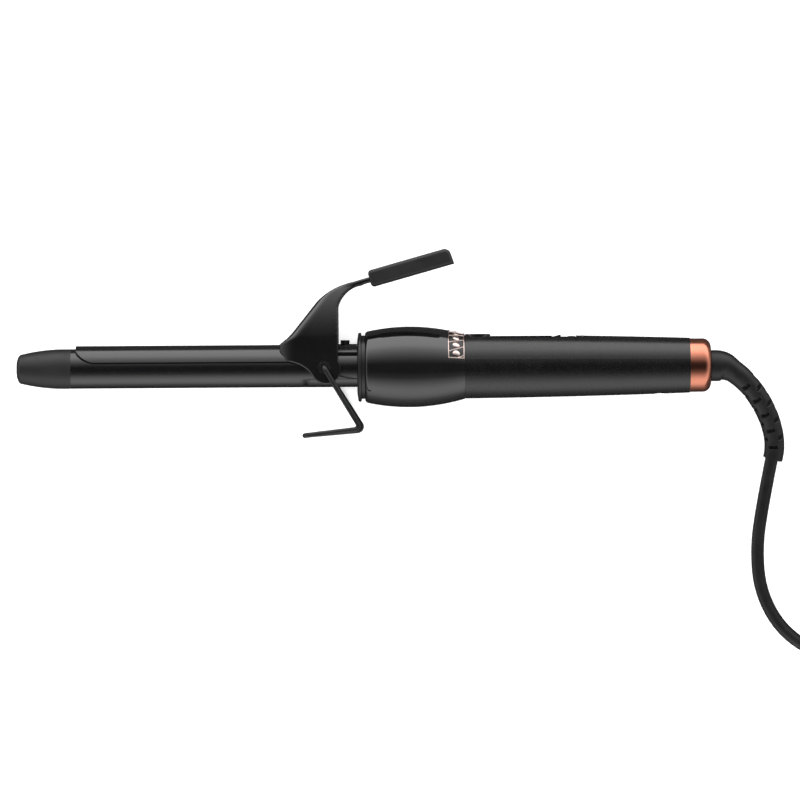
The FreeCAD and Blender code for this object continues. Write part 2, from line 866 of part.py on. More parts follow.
for low, front, back, half_width in (
    (ear_bottom - 1, dim.saddle_step_height, dim.saddle_step_height, dim.ear_inner),
    (dim.saddle_step_height - 1, dim.saddle_roof_front, dim.saddle_step_back, dim.saddle_step_half_width),
    (dim.saddle_step_height - 1, dim.saddle_roof_front, dim.saddle_roof_back, dim.saddle_roof_half_width),
):
    pocket_across(lever_saddle, [
        (hollow_front, low),
        (hollow_front, front),
        (hollow_back, back),
        (hollow_back, low),
    ], half_width * 2, (dim.pivot_x, 0, 0))
pocket_up(
    lever_saddle,
    dim.saddle_roof_front,
    dim.spring_pocket_top,
    lambda sketch: draw_circle(sketch, (dim.pivot_x + dim.spring_x, 0), dim.spring_pocket_radius),
)


def bore_across(body, radius, width):
    """A round hole through the body along the pivot's line."""
    before = body.Shape.Volume
    sketch = new_sketch(body, "XY_Plane")
    draw_circle(sketch, (dim.pivot_x, 0), radius)
    cut = body.newObject("PartDesign::Pocket", "Pocket")
    cut.Profile = sketch
    cut.SideType = "Symmetric"
    cut.setExpression("Length", text_of(width))
    finish_feature(body, cut, sketch)
    check_cut(body, before)


bore_across(lever_saddle, dim.eyelet_radius + dim.running_gap, dim.ear_outer * 3)

thumb_pad = body_for("thumb_pad")
pad_place = (dim.pivot_x + dim.pad_x, dim.pad_height, 0)
pad_across(thumb_pad, [
    (0, -dim.pad_half_thickness),
    (0, dim.pad_half_thickness),
    (dim.pad_length - dim.pad_end_curve, dim.pad_half_thickness),
    (
        dim.pad_length + dim.pad_end_lean / 2,
        dim.pad_half_thickness - dim.pad_end_curve,
        -dim.pad_end_curve,
    ),
    (dim.pad_length + dim.pad_end_lean, -dim.pad_half_thickness),
], dim.pad_half_width * 2, pad_place, dim.pad_slope)


def on_pad_rim(edge):
    """The pad's long edges on both sides, and the edges of the end that faces the lever."""
    near_end = edge.BoundBox.Center.x < dim.pivot_x.value + dim.pad_x.value + 5
    lengthwise = edge.BoundBox.ZLength < dim.pad_half_width.value
    return edge.Length > 5 and (near_end or lengthwise)


round_edges(thumb_pad, dim.pad_fillet, on_pad_rim)
pocket_across(thumb_pad, [
    (-1, dim.pad_strap_offset - dim.strap_thickness / 2),
    (-1, dim.pad_strap_offset + dim.strap_thickness / 2),
    (dim.strap_length, dim.pad_strap_offset + dim.strap_thickness / 2),
    (dim.strap_length, dim.pad_strap_offset - dim.strap_thickness / 2),
], dim.strap_half_width * 2, pad_place, dim.pad_slope)

pivot_bracket = body_for("pivot_bracket")
revolve(pivot_bracket, [
    (dim.bracket_start, dim.barrel_radius),
    (dim.bracket_start, dim.bracket_outer_radius),
    (dim.bracket_end, dim.bracket_outer_radius),
    (dim.bracket_end, dim.barrel_radius),
], dim.bracket_wrap)
revolve(pivot_bracket, [
    (dim.pivot_x - dim.bracket_band_half_width, dim.barrel_radius),
    (dim.pivot_x - dim.bracket_band_half_width, dim.bracket_band_radius),
    (dim.pivot_x + dim.bracket_band_half_width, dim.bracket_band_radius),
    (dim.pivot_x + dim.bracket_band_half_width, dim.barrel_radius),
], dim.bracket_band_wrap)
bore_across(pivot_bracket, dim.eyelet_radius, dim.ear_outer * 3)
pocket_up(
    pivot_bracket,
    dim.bracket_screw_depth,
    dim.bracket_outer_radius + 1,
    lambda sketch: draw_circle(sketch, (dim.bracket_screw_x, 0), dim.bracket_screw_radius),
)

screw_seat = dim.bracket_outer_radius
into_frame(joined([
    cylinder((dim.bracket_screw_x, screw_seat, 0), "y", dim.bracket_screw_head_radius,
             dim.bracket_screw_top - screw_seat),
    cylinder((dim.bracket_screw_x, dim.bracket_screw_depth, 0), "y", dim.bracket_screw_radius,
             dim.bracket_screw_top - dim.bracket_screw_depth),
]), "bracket_screw")

eyelet_foot = dim.barrel_radius + 0.15
eyelet_face = dim.ear_outer + 0.1
eyelets = []
for side in (1, -1):
    foot = eyelet_foot if side > 0 else -(eyelet_face + dim.eyelet_head)
    face = eyelet_face if side > 0 else -(eyelet_face + dim.eyelet_head)
    bore_foot = foot + dim.eyelet_floor if side > 0 else foot
    length = eyelet_face + dim.eyelet_head - eyelet_foot
    eyelets.append(minus(
        joined([
            cylinder((dim.pivot_x, 0, foot), "z", dim.eyelet_radius, length),
            cylinder((dim.pivot_x, 0, face), "z", dim.eyelet_head_radius, dim.eyelet_head),
        ]),
        cylinder((dim.pivot_x, 0, bore_foot), "z", dim.eyelet_bore, length - dim.eyelet_floor),
    ))
group("pivot_eyelets", eyelets)

helix = Part.makeHelix(dim.spring_pitch.value, dim.spring_height.value, dim.spring_radius.value)
wire_section = Part.Circle(
    FreeCAD.Vector(dim.spring_radius.value, 0, 0),
    FreeCAD.Vector(0, 1, 0),
    dim.spring_wire_radius.value,
)
spring = Part.Wire(helix).makePipeShell([Part.Wire(wire_section.toShape())], True, True)
spring.rotate(FreeCAD.Vector(), FreeCAD.Vector(1, 0, 0), -90)
spring.translate(FreeCAD.Vector(dim.pivot_x.value + dim.spring_x.value, dim.spring_base.value, 0))
free_shape("return_spring", spring)

# ---------------------------------------------------------------- wire stand


def stand_leg(side, twist_x, twist_y):
    """The corners of one leg, from its hook in the eyelet to its toe. The twist moves its knee."""
    reach = side * dim.stand_side.value
    pivot = dim.pivot_x.value
    knee_x = pivot + dim.stand_corner_x.value + twist_x
    knee_y = dim.stand_corner_y.value + twist_y
    return [
        FreeCAD.Vector(pivot, 0, side * (eyelet_foot + dim.stand_hook_depth).value),
        FreeCAD.Vector(pivot, 0, reach),
        FreeCAD.Vector(knee_x, knee_y, reach),
        FreeCAD.Vector(pivot + dim.stand_foot_x.value, dim.stand_foot_y.value, reach),
    ]


near_leg = stand_leg(1, 0, 0)
far_leg = stand_leg(-1, dim.stand_twist_x.value, dim.stand_twist_y.value)
stand, _, _ = swept_tube(near_leg + far_leg[::-1], dim.stand_wire_radius.value, dim.stand_bend.value)
free_shape("stand_wire", stand)

# ---------------------------------------------------------------- heat shield, neck, housing

heat_shield = body_for("heat_shield")
revolve(heat_shield, [
    (dim.shield_start, dim.barrel_radius),
    (dim.shield_start, dim.shield_hub_radius),
    (dim.shield_rim_start, dim.shield_rim_radius),
    (dim.shield_end, dim.shield_rim_radius, -dim.shield_rim_curve),
    (dim.shield_end, dim.barrel_radius),
])

neck_ring = body_for("neck_ring")
revolve(neck_ring, [
    (dim.shield_end, dim.barrel_radius),
    (dim.shield_end, dim.neck_radius),
    (dim.neck_end, dim.neck_radius),
    (dim.neck_end, dim.barrel_radius),
])

front_housing = body_for("front_housing")
revolve(front_housing, [
    (dim.neck_end, dim.barrel_radius),
    (dim.neck_end, dim.housing_nose_radius),
    (dim.housing_corner_x, dim.housing_corner_radius, -dim.housing_corner_curve),
    (dim.bulge_x, dim.bulge_radius, -dim.bulge_curve),
    (dim.housing_end, dim.housing_end_radius, -dim.bulge_curve),
    (dim.housing_end, dim.housing_mouth_radius),
    (dim.socket_end, dim.housing_inner_radius),
    (dim.socket_end, dim.socket_radius),
    (dim.neck_end + dim.housing_wall, dim.socket_radius),
    (dim.neck_end + dim.housing_wall, dim.barrel_radius),
])
groove(front_housing, [
    (dim.band_start, dim.band_floor_front),
    (dim.band_start, dim.bulge_radius + 1),
    (dim.band_end, dim.bulge_radius + 1),
    (dim.band_end, dim.band_floor_back),
], dim.seam_angle)

barrel_socket = body_for("barrel_socket")
revolve(barrel_socket, [
    (dim.neck_end + dim.housing_wall, dim.barrel_radius),
    (dim.neck_end + dim.housing_wall, dim.socket_radius),
    (dim.socket_end, dim.socket_radius),
    (dim.socket_end, dim.barrel_radius),
])

trim_band = body_for("trim_band")
revolve(trim_band, [
    (dim.band_start, dim.band_floor_front),
    (dim.band_start, dim.band_top_front),
    (dim.band_end, dim.band_top_back, -dim.band_curve),
    (dim.band_end, dim.band_floor_back),
], dim.seam_angle)

# ---------------------------------------------------------------- handle shells


def handle_outline():
    return [
        (dim.tongue_start, dim.tongue_inner),
        (dim.tongue_start, dim.tongue_radius),
        (dim.handle_start, dim.tongue_radius),
        (dim.handle_start, dim.handle_front_radius),
        (dim.handle_end, dim.handle_back_radius, -dim.handle_curve),
        (dim.handle_end, dim.tail_radius),
        (dim.tail_end, dim.tail_radius),
        (dim.tail_end, dim.tail_inner),
        (dim.handle_end - 1, dim.tail_inner),
        (dim.handle_end - 4, dim.handle_back_inner),
        (dim.handle_start + 3, dim.handle_front_inner),
        (dim.handle_start - 1, dim.tongue_inner),
    ]


handle_upper = body_for("handle_upper")
revolve(handle_upper, handle_outline(), dim.seam_angle)
handle_lower = body_for("handle_lower")
revolve(handle_lower, handle_outline(), 360 - dim.seam_angle, facing=180)

post_places = [
    (x, side * dim.post_side) for x in (dim.post_front_x, dim.post_back_x) for side in (1, -1)
]
for place in post_places:
    pad_up(handle_upper, dim.board_top, dim.post_top,
           lambda sketch: draw_circle(sketch, place, dim.post_radius))
pad_up(handle_upper, dim.shell_boss_split, dim.shell_boss_top,
       lambda sketch: draw_circle(sketch, (dim.shell_screw_x, 0), dim.shell_boss_radius))
for place in post_places:
    pocket_up(handle_upper, dim.board_top, dim.board_screw_end,
              lambda sketch: draw_circle(sketch, place, dim.board_screw_radius))
pocket_up(handle_upper, dim.shell_boss_split, dim.board_screw_end,
          lambda sketch: draw_circle(sketch, (dim.shell_screw_x, 0), dim.shell_screw_radius))
pocket_up(handle_upper, dim.panel_height, dim.bulge_radius,
          lambda sketch: draw_rectangle(
              sketch,
              (dim.panel_start, -dim.stand_side),
              (dim.panel_end, dim.stand_side),
          ))
pocket_up(handle_upper, dim.board_top, dim.bulge_radius,
          lambda sketch: draw_rectangle(
              sketch,
              (dim.window_start, -dim.window_half_width),
              (dim.window_end, dim.window_half_width),
          ))
pocket_up(handle_upper, dim.board_top, dim.bulge_radius,
          lambda sketch: draw_circle(sketch, (dim.power_x, 0), dim.bezel_outer))
pocket_up(handle_upper, dim.recess_floor, dim.bulge_radius,
          lambda sketch: draw_rectangle(
              sketch,
              (dim.panel_end - 0.1, -dim.recess_half_width),
              (dim.recess_end, dim.recess_half_width),
          ))
plus_middle = dim.plus_start + dim.plus_length / 2
minus_middle = dim.minus_start + dim.minus_length / 2
for middle in (plus_middle, minus_middle):
    pocket_up(handle_upper, dim.board_top, dim.recess_floor + 0.5,
              lambda sketch: draw_circle(sketch, (middle, 0), dim.stem_radius + dim.free_gap))

pad_up(handle_lower, dim.shell_boss_bottom, dim.shell_boss_split,
       lambda sketch: draw_circle(sketch, (dim.shell_screw_x, 0), dim.shell_boss_radius))
pocket_up(handle_lower, -dim.bulge_radius, dim.shell_screw_seat,
          lambda sketch: draw_circle(
              sketch, (dim.shell_screw_x, 0), dim.shell_screw_head_radius + dim.running_gap))
pocket_up(handle_lower, dim.shell_screw_seat, dim.shell_boss_split,
          lambda sketch: draw_circle(sketch, (dim.shell_screw_x, 0), dim.shell_screw_radius))

into_frame(joined([
    cylinder((dim.shell_screw_x, dim.shell_screw_seat - dim.shell_screw_head, 0), "y",
             dim.shell_screw_head_radius, dim.shell_screw_head),
    cylinder((dim.shell_screw_x, dim.shell_screw_seat - 0.5, 0), "y",
             dim.shell_screw_radius, dim.board_screw_end - dim.shell_screw_seat),
]), "shell_screw")

# ---------------------------------------------------------------- controls

button_bezel = body_for("button_bezel")
pad_up(button_bezel, dim.bezel_foot, dim.bezel_top, lambda sketch: (
    draw_circle(sketch, (dim.power_x, 0), dim.bezel_outer),
    draw_circle(sketch, (dim.power_x, 0), dim.bezel_inner),
))


def round_on_top(body, low, high, centre, radius):
    pad_up(body, low, high, lambda sketch: draw_circle(sketch, (centre, 0), radius))


power_button = body_for("power_button")
round_on_top(power_button, dim.stem_bottom, dim.power_top, dim.power_x, dim.stem_radius)
round_on_top(power_button, dim.power_flange_top - dim.button_flange, dim.power_flange_top,
             dim.power_x, dim.power_flange_radius)
round_on_top(power_button, dim.power_flange_top - 0.1, dim.power_top, dim.power_x, dim.power_radius)

plus_button = body_for("plus_button")
pad_across(plus_button, [
    (dim.plus_start, dim.key_foot),
    (dim.plus_start, dim.plus_low),
    (dim.plus_start + dim.plus_length, dim.plus_high),
    (dim.plus_start + dim.plus_length, dim.key_foot),
], dim.key_half_width * 2)
round_on_top(plus_button, dim.stem_bottom, dim.key_foot + 0.1, plus_middle, dim.stem_radius)

minus_button = body_for("minus_button")
pad_across(minus_button, [
    (dim.minus_start, dim.key_foot),
    (dim.minus_start, dim.minus_top),
    (dim.minus_start + dim.minus_length, dim.minus_top),
    (dim.minus_start + dim.minus_length, dim.key_foot),
], dim.key_half_width * 2)
round_on_top(minus_button, dim.stem_bottom, dim.key_foot + 0.1, minus_middle, dim.stem_radius)

display_lens = body_for("display_lens")
pad_up(display_lens, dim.panel_height, dim.lens_top, lambda sketch: draw_rectangle(
    sketch,
    (dim.panel_start + 0.1, -dim.lens_half_width),
    (dim.panel_end - 0.1, dim.lens_half_width),
))

group("display_module", [
    box(
        (dim.window_start + dim.module_gap, dim.board_top, dim.module_gap - dim.window_half_width),
        (dim.window_end - dim.module_gap, dim.module_top, dim.window_half_width - dim.module_gap),
    ),
])

# ---------------------------------------------------------------- circuit board

control_board = body_for("control_board")
pad_up(control_board, dim.board_bottom, dim.board_top, lambda sketch: draw_rectangle(
    sketch,
    (dim.board_start, -dim.board_half_width),
    (dim.board_end, dim.board_half_width),
))
for place in post_places:
    pocket_up(control_board, dim.board_bottom - 0.5, dim.board_top + 0.5,
              lambda sketch: draw_circle(sketch, place, dim.board_screw_radius))

switch_half = dim.switch_size / 2
group("tact_switches", [
    joined([
        box((middle - switch_half, dim.board_top, -switch_half),
            (middle + switch_half, dim.switch_top, switch_half)),
        cylinder((middle, dim.board_top, 0), "y", dim.plunger_radius,
                 dim.plunger_top - dim.board_top),
    ])
    for middle in (dim.power_x, plus_middle - 0.3, minus_middle + 0.3)
])

group("board_screws", [
    joined([
        cylinder((x, dim.board_bottom - 1, z), "y", dim.board_screw_head, 1),
        cylinder((x, dim.board_bottom - 0.5, z), "y", dim.board_screw_radius,
                 dim.board_screw_end - dim.board_bottom),
    ])
    for x, z in post_places
])

# The parts under the board: (start, end, half width, depth below the board).
BOARD_COMPONENTS = {
    "relay": (279, 292, 5.5, 9),
    "capacitor": (262, 271, 4, 8),
    "fuse": (247, 256, 3, 6),
    "choke": (233, 243, 5, 3),
}
group("board_components", [
    box((start, dim.board_bottom - depth, -half_width), (end, dim.board_bottom, half_width))
    for start, end, half_width, depth in BOARD_COMPONENTS.values()
])


# The bends of one lead of each pair: (station, height towards the lever, distance to the side).
HEATER_LEAD_BENDS = [(152, -2, 4), (200, -1, 5), (220, 3.5, 5.5), (224, 3.5, 5.5)]
MAINS_LEAD_BENDS = [(312, -2, 6.4), (300, 2, 6.2), (294.5, 3.5, 6.4)]


def pair_of_leads(label, route):
    """Two insulated wires, mirror images of each other, along a route of (x, y, z) points."""
    radius = dim.lead_radius.value
    leads = []
    for side in (1, -1):
        points = [FreeCAD.Vector(x, y, side * z) for x, y, z in route]
        tube, _, _ = swept_tube(points, radius, 3 * radius)
        leads.append(tube)
    free_shape(label, Part.makeCompound(leads))


lead_start = heater_end + dim.electrode_overhang
pair_of_leads("heater_leads", [(lead_start.value, 0, 3)] + HEATER_LEAD_BENDS)
lead_end = dim.swivel_start - dim.running_gap
pair_of_leads("mains_leads", [(lead_end.value, -3, 6)] + MAINS_LEAD_BENDS)

# ---------------------------------------------------------------- end cap and cord swivel

end_cap = body_for("end_cap")
revolve(end_cap, [
    (dim.handle_end, dim.tail_radius),
    (dim.handle_end, dim.cap_radius),
    (dim.cap_end - dim.cap_corner, dim.cap_radius),
    (dim.cap_end, dim.cap_radius - dim.cap_corner, -dim.cap_corner),
    (dim.cap_end, dim.cap_hole_radius),
    (dim.cap_end - dim.cap_wall, dim.cap_hole_radius),
    (dim.cap_end - dim.cap_wall, dim.swivel_radius),
    (dim.tail_end, dim.tail_radius),
])

swivel_socket = body_for("swivel_socket")
revolve(swivel_socket, [
    (dim.swivel_start, 0),
    (dim.swivel_start, dim.swivel_radius),
    (dim.cap_end - dim.cap_wall, dim.swivel_radius),
    (dim.cap_end - dim.cap_wall, dim.swivel_sleeve),
    (dim.swivel_start + dim.swivel_plate, dim.swivel_sleeve),
    (dim.swivel_start + dim.swivel_plate, 0),
])

ring_face = dim.swivel_start + dim.swivel_plate
group("contact_rings", [
    minus(
        cylinder((ring_face, 0, 0), "x", middle + dim.ring_half_width, dim.ring_thickness),
        cylinder((ring_face, 0, 0), "x", middle - dim.ring_half_width, dim.ring_thickness),
    )
    for middle in (dim.inner_ring_radius, dim.outer_ring_radius)
])

swivel_hub = body_for("swivel_hub")
revolve(swivel_hub, [
    (dim.hub_flange_start, 0),
    (dim.hub_flange_start, dim.hub_flange_radius),
    (dim.hub_flange_end, dim.hub_flange_radius),
    (dim.hub_flange_end, dim.hub_neck_radius),
    (dim.cap_end, dim.hub_neck_radius),
    (dim.cap_end, 0),
])

brush_tip = ring_face + dim.ring_thickness + dim.free_gap
group("contact_brushes", [
    cylinder((brush_tip, reach, 0), "x", dim.brush_radius, dim.hub_flange_start - brush_tip)
    for reach in (-dim.outer_ring_radius, dim.inner_ring_radius)
])

# ---------------------------------------------------------------- strain relief

axis_height = dim.frame_z.value


def on_bench(x, y, height):
    """A point of the cord, given by its height above the floor."""
    return FreeCAD.Vector(x, y, height - axis_height)


# The cord's route from the strain relief to the coil, then from the coil to the plug.
cord_route = [on_bench(x, y, height) for x, y, height in (
    (362.8, -45.3, 7.2),
    (358.4, -67.5, 4.4),
    (355.4, -88.5, 3.15),
    (357.2, -110.0, 3.15),
    (367.8, -129.0, 3.15),
    (386.5, -140.6, 3.15),
    (408.0, -143.2, 3.15),
    (430.0, -143.2, 3.15),
)]
tail_route = [on_bench(x, y, height) for x, y, height in (
    (471.2, -100.0, 8.2),
    (471.2, -62.0, 6.85),
)]


def relief_centre(share):
    """A point of the strain relief's bent centre line, from its root (0) to its end (1)."""
    first, last = dim.relief_first_angle.value, dim.relief_last_angle.value
    angle = math.radians(first + (last - first) * share)
    drop = axis_height - dim.relief_end_height.value
    return on_bench(
        dim.relief_curve_x.value + dim.relief_curve_radius.value * math.cos(angle),
        dim.relief_curve_y.value + dim.relief_curve_radius.value * math.sin(angle),
        axis_height - drop * (1 - math.cos(math.pi * share)) / 2,
    )


def relief_section(share):
    """The strain relief's round section at a share of its length: flared at the root, then tapering."""
    step = 0.01
    heading = relief_centre(share + step) - relief_centre(share - step)
    if share == 1:
        heading = cord_route[1] - cord_route[0]
    radius = (
        dim.relief_end_radius.value
        + dim.relief_taper.value * (1 - share)
        + dim.relief_flare.value * (1 - share) ** dim.relief_flare_power.value
    )
    centre = relief_centre(share) if share < 1 else cord_route[0]
    return Part.Wire(Part.Circle(centre, heading, radius).toShape())


RELIEF_SHARES = (0, 0.08, 0.18, 0.35, 0.52, 0.7, 0.86, 1)
relief_neck = Part.makeLoft([relief_section(share) for share in RELIEF_SHARES], True, False)
relief_root = Part.makeCylinder(
    dim.relief_root_radius.value,
    dim.relief_root_end.value - dim.cap_end.value,
    FreeCAD.Vector(dim.cap_end.value, 0, 0),
    FreeCAD.Vector(1, 0, 0),
)
free_shape("strain_relief", relief_root.fuse(relief_neck).removeSplitter())

# ---------------------------------------------------------------- cord, coil, tie and plug


cord_run, cord_length, cord_bends = swept_tube(cord_route, dim.cord_radius.value)
print(f"cord_tube is {cord_length:.1f} mm long, with bends of", [round(bend, 1) for bend in cord_bends])
cord_volume = math.pi * dim.cord_radius.value ** 2 * cord_length
if abs(cord_run.Volume / cord_volume - 1) > 0.01:
    raise RuntimeError("cord_tube: the volume is not its section times its length")
free_shape("cord_tube", cord_run)

tail = Part.makeCylinder(
    dim.cord_radius.value,
    tail_route[0].distanceToPoint(tail_route[1]),
    tail_route[0],
    tail_route[1] - tail_route[0],
)
free_shape("cord_tail", tail)

coil_low = -axis_height
coil_high = coil_low + dim.coil_height.value
inner = dim.coil_radius.value - dim.coil_half_width.value
outer = dim.coil_radius.value + dim.coil_half_width.value
chamfer = dim.coil_chamfer.value
coil_section = Part.makePolygon([
    FreeCAD.Vector(radius, 0, height) for radius, height in (
        (inner + chamfer, coil_low),
        (outer - chamfer, coil_low),
        (outer, coil_low + chamfer),
        (outer, coil_high - chamfer),
        (outer - chamfer, coil_high),
        (inner + chamfer, coil_high),
        (inner, coil_high - chamfer),
        (inner, coil_low + chamfer),
        (inner + chamfer, coil_low),
    )
])
ring = Part.Face(coil_section).revolve(FreeCAD.Vector(), FreeCAD.Vector(0, 0, 1), 360)
tie_start = dim.coil_radius.value - dim.coil_half_width.value - dim.tie_thickness.value
tie_band = Part.makeBox(
    2 * (dim.coil_half_width.value + dim.tie_thickness.value),
    2 * dim.tie_half_width.value,
    dim.coil_height.value + dim.tie_thickness.value,
    FreeCAD.Vector(tie_start, -dim.tie_half_width.value, coil_low),
)
waist = Part.makeBox(
    2 * (dim.coil_half_width.value - dim.tie_thickness.value),
    2 * dim.tie_half_width.value,
    dim.coil_height.value - 2 * dim.tie_thickness.value,
    FreeCAD.Vector(
        inner + dim.tie_thickness.value, -dim.tie_half_width.value, coil_low + dim.tie_thickness.value
    ),
)
tie = tie_band.cut(waist)
ring = ring.cut(tie)
for piece in (ring, tie):
    piece.rotate(FreeCAD.Vector(), FreeCAD.Vector(0, 0, 1), dim.tie_angle.value)
    piece.translate(FreeCAD.Vector(dim.coil_x.value, dim.coil_y.value, 0))
free_shape("cord_coil", ring)
free_shape("coil_tie", tie)

plug_body = body_for("plug_body")
plug_middle = dim.plug_height / 2 - dim.frame_z


def plug_plan(sketch):
    """The plug's body seen from above: a narrow rear that widens to the face with the pins."""
    left, right = dim.plug_x - dim.plug_half_width, dim.plug_x + dim.plug_half_width
    rear_left, rear_right = (
        dim.plug_x - dim.plug_rear_half_width, dim.plug_x + dim.plug_rear_half_width
    )
    draw_outline(sketch, [
        (rear_left, dim.plug_body_y),
        (rear_right, dim.plug_body_y),
        (right, dim.plug_shoulder_y),
        (right, dim.plug_front_y),
        (left, dim.plug_front_y),
        (left, dim.plug_shoulder_y),
    ])


plan = new_sketch(plug_body, "XY_Plane", (0, 0, plug_middle))
plug_plan(plan)
slab = plug_body.newObject("PartDesign::Pad", "Pad")
slab.Profile = plan
slab.SideType = "Symmetric"
slab.setExpression("Length", text_of(dim.plug_height))
finish_feature(plug_body, slab, plan)
round_edges(plug_body, dim.pin_radius, lambda edge: edge.BoundBox.ZLength > 10)

relief_cone = Part.makeCone(
    dim.plug_relief_rear.value,
    dim.plug_relief_front.value,
    dim.plug_body_y.value - dim.plug_rear_y.value,
    FreeCAD.Vector(dim.plug_x.value, dim.plug_rear_y.value, number_of(plug_middle)),
    FreeCAD.Vector(0, 1, 0),
)
free_shape("plug_relief", relief_cone)

group("plug_pins", [
    joined([
        cylinder((dim.plug_x + side * dim.pin_side, dim.plug_front_y, plug_middle), "y",
                 dim.pin_radius, dim.pin_length - dim.pin_radius),
        cylinder((dim.plug_x + side * dim.pin_side, dim.plug_front_y, plug_middle), "y",
                 dim.pin_radius * 0.7, dim.pin_length),
    ])
    for side in (-1, 1)
])

# ---------------------------------------------------------------- checks and STEP files

doc.recompute()
for item in doc.Objects:
    if "Invalid" in item.State or "Error" in item.State:
        raise RuntimeError(f"{item.Label} ({item.Name}) failed: {item.State}")
for item in sub_parts:
    if item.Shape.isNull() or not item.Shape.isValid() or not item.Shape.Solids:
        raise RuntimeError(f"{item.Label} has no valid shape")

os.makedirs("parts", exist_ok=True)
for item in sub_parts:
    item.Shape.exportStep(f"parts/{item.Label}.step")
print(len(sub_parts), "sub-parts written")
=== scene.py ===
import math

import bmesh
import bpy
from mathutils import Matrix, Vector
from mathutils.geometry import interpolate_bezier


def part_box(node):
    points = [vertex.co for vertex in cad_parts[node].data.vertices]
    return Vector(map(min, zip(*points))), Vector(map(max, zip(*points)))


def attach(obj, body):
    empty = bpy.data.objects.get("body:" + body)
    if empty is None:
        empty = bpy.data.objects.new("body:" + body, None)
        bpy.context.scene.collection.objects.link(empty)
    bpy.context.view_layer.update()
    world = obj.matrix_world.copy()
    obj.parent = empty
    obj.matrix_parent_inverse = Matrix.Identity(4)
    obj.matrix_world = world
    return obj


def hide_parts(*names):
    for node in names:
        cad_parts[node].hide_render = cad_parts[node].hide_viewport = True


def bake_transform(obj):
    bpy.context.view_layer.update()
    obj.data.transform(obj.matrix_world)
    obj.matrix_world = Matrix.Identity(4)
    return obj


# The looks of a curling iron that lies on its side. Every object is in metres, in the row frame.
# Places are given to from_tip in millimetres. Radii, and distances along a path, are in metres.

MM = 0.001
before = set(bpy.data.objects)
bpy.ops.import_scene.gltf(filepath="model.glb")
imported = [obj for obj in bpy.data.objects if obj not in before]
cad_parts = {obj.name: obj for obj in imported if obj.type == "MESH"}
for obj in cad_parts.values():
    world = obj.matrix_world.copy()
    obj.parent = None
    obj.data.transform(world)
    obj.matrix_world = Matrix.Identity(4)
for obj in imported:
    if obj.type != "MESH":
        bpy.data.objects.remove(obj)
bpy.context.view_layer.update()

TIP_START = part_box("tip_cap")[0].x
barrel_low, barrel_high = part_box("barrel_tube")
AXIS_START = Vector((TIP_START, (barrel_low.y + barrel_high.y) / 2, (barrel_low.z + barrel_high.z) / 2))


def from_tip(station, side, up):
    """The point that is so many millimetres along the barrel, towards the lever, and up."""
    return AXIS_START + Vector((station, side, up)) * MM


# ---------------------------------------------------------------- materials

# Nearly all of a noise texture's values lie between these two.
NOISE_LOW = 0.3
NOISE_HIGH = 0.7


class Finish:
    """A material made around one Principled shader, with the textures that feed it."""

    def __init__(self, name, **constants):
        self.material = bpy.data.materials.new(name)
        self.material.use_nodes = True
        self.nodes = self.material.node_tree.nodes
        self.links = self.material.node_tree.links
        self.shader = self.nodes["Principled BSDF"]
        self.place = self.nodes.new("ShaderNodeTexCoord").outputs["Object"]
        for socket, value in constants.items():
            self.shader.inputs[socket.replace("_", " ")].default_value = value

    def stretched(self, scale):
        mapping = self.nodes.new("ShaderNodeMapping")
        mapping.inputs["Scale"].default_value = scale
        self.links.new(self.place, mapping.inputs["Vector"])
        return mapping.outputs["Vector"]

    def noise(self, scale, detail=4.0, stretch=None):
        texture = self.nodes.new("ShaderNodeTexNoise")
        texture.inputs["Scale"].default_value = scale
        texture.inputs["Detail"].default_value = detail
        self.links.new(self.stretched(stretch) if stretch else self.place, texture.inputs["Vector"])
        return texture.outputs["Fac"]

    def cells(self, scale):
        texture = self.nodes.new("ShaderNodeTexVoronoi")
        texture.inputs["Scale"].default_value = scale
        self.links.new(self.place, texture.inputs["Vector"])
        return texture.outputs["Distance"]

    def waves(self, scale, direction):
        texture = self.nodes.new("ShaderNodeTexWave")
        texture.bands_direction = direction
        texture.inputs["Scale"].default_value = scale
        self.links.new(self.place, texture.inputs["Vector"])
        return texture.outputs["Fac"]

    def colour(self, pattern, dark, light, low=NOISE_LOW, high=NOISE_HIGH):
        """Run from dark to light as the pattern rises from low to high."""
        ramp = self.nodes.new("ShaderNodeValToRGB")
        first, last = ramp.color_ramp.elements
        first.position, first.color = low, (*dark, 1.0)
        last.position, last.color = high, (*light, 1.0)
        self.links.new(pattern, ramp.inputs["Fac"])
        self.links.new(ramp.outputs["Color"], self.shader.inputs["Base Color"])

    def roughness(self, pattern, smooth, rough):
        spread = self.nodes.new("ShaderNodeMapRange")
        spread.inputs["From Min"].default_value = NOISE_LOW
        spread.inputs["From Max"].default_value = NOISE_HIGH
        spread.inputs["To Min"].default_value = smooth
        spread.inputs["To Max"].default_value = rough
        self.links.new(pattern, spread.inputs["Value"])
        self.links.new(spread.outputs["Result"], self.shader.inputs["Roughness"])

    def bump(self, pattern, depth):
        """Raise the surface by depth metres where the pattern is white."""
        bump = self.nodes.new("ShaderNodeBump")
        bump.inputs["Strength"].default_value = 1.0
        bump.inputs["Distance"].default_value = depth
        self.links.new(pattern, bump.inputs["Height"])
        self.links.new(bump.outputs["Normal"], self.shader.inputs["Normal"])


def grey(level):
    return (level, level, level)


def moulded(name, dark, light, smooth, rough, grain, depth, **constants):
    """A moulded plastic: faint blotches of shade and gloss, under a fine grain."""
    finish = Finish(name, **constants)
    finish.colour(finish.noise(60.0), dark, light)
    finish.roughness(finish.noise(240.0), smooth, rough)
    finish.bump(finish.noise(grain, detail=2.0), depth)
    return finish.material


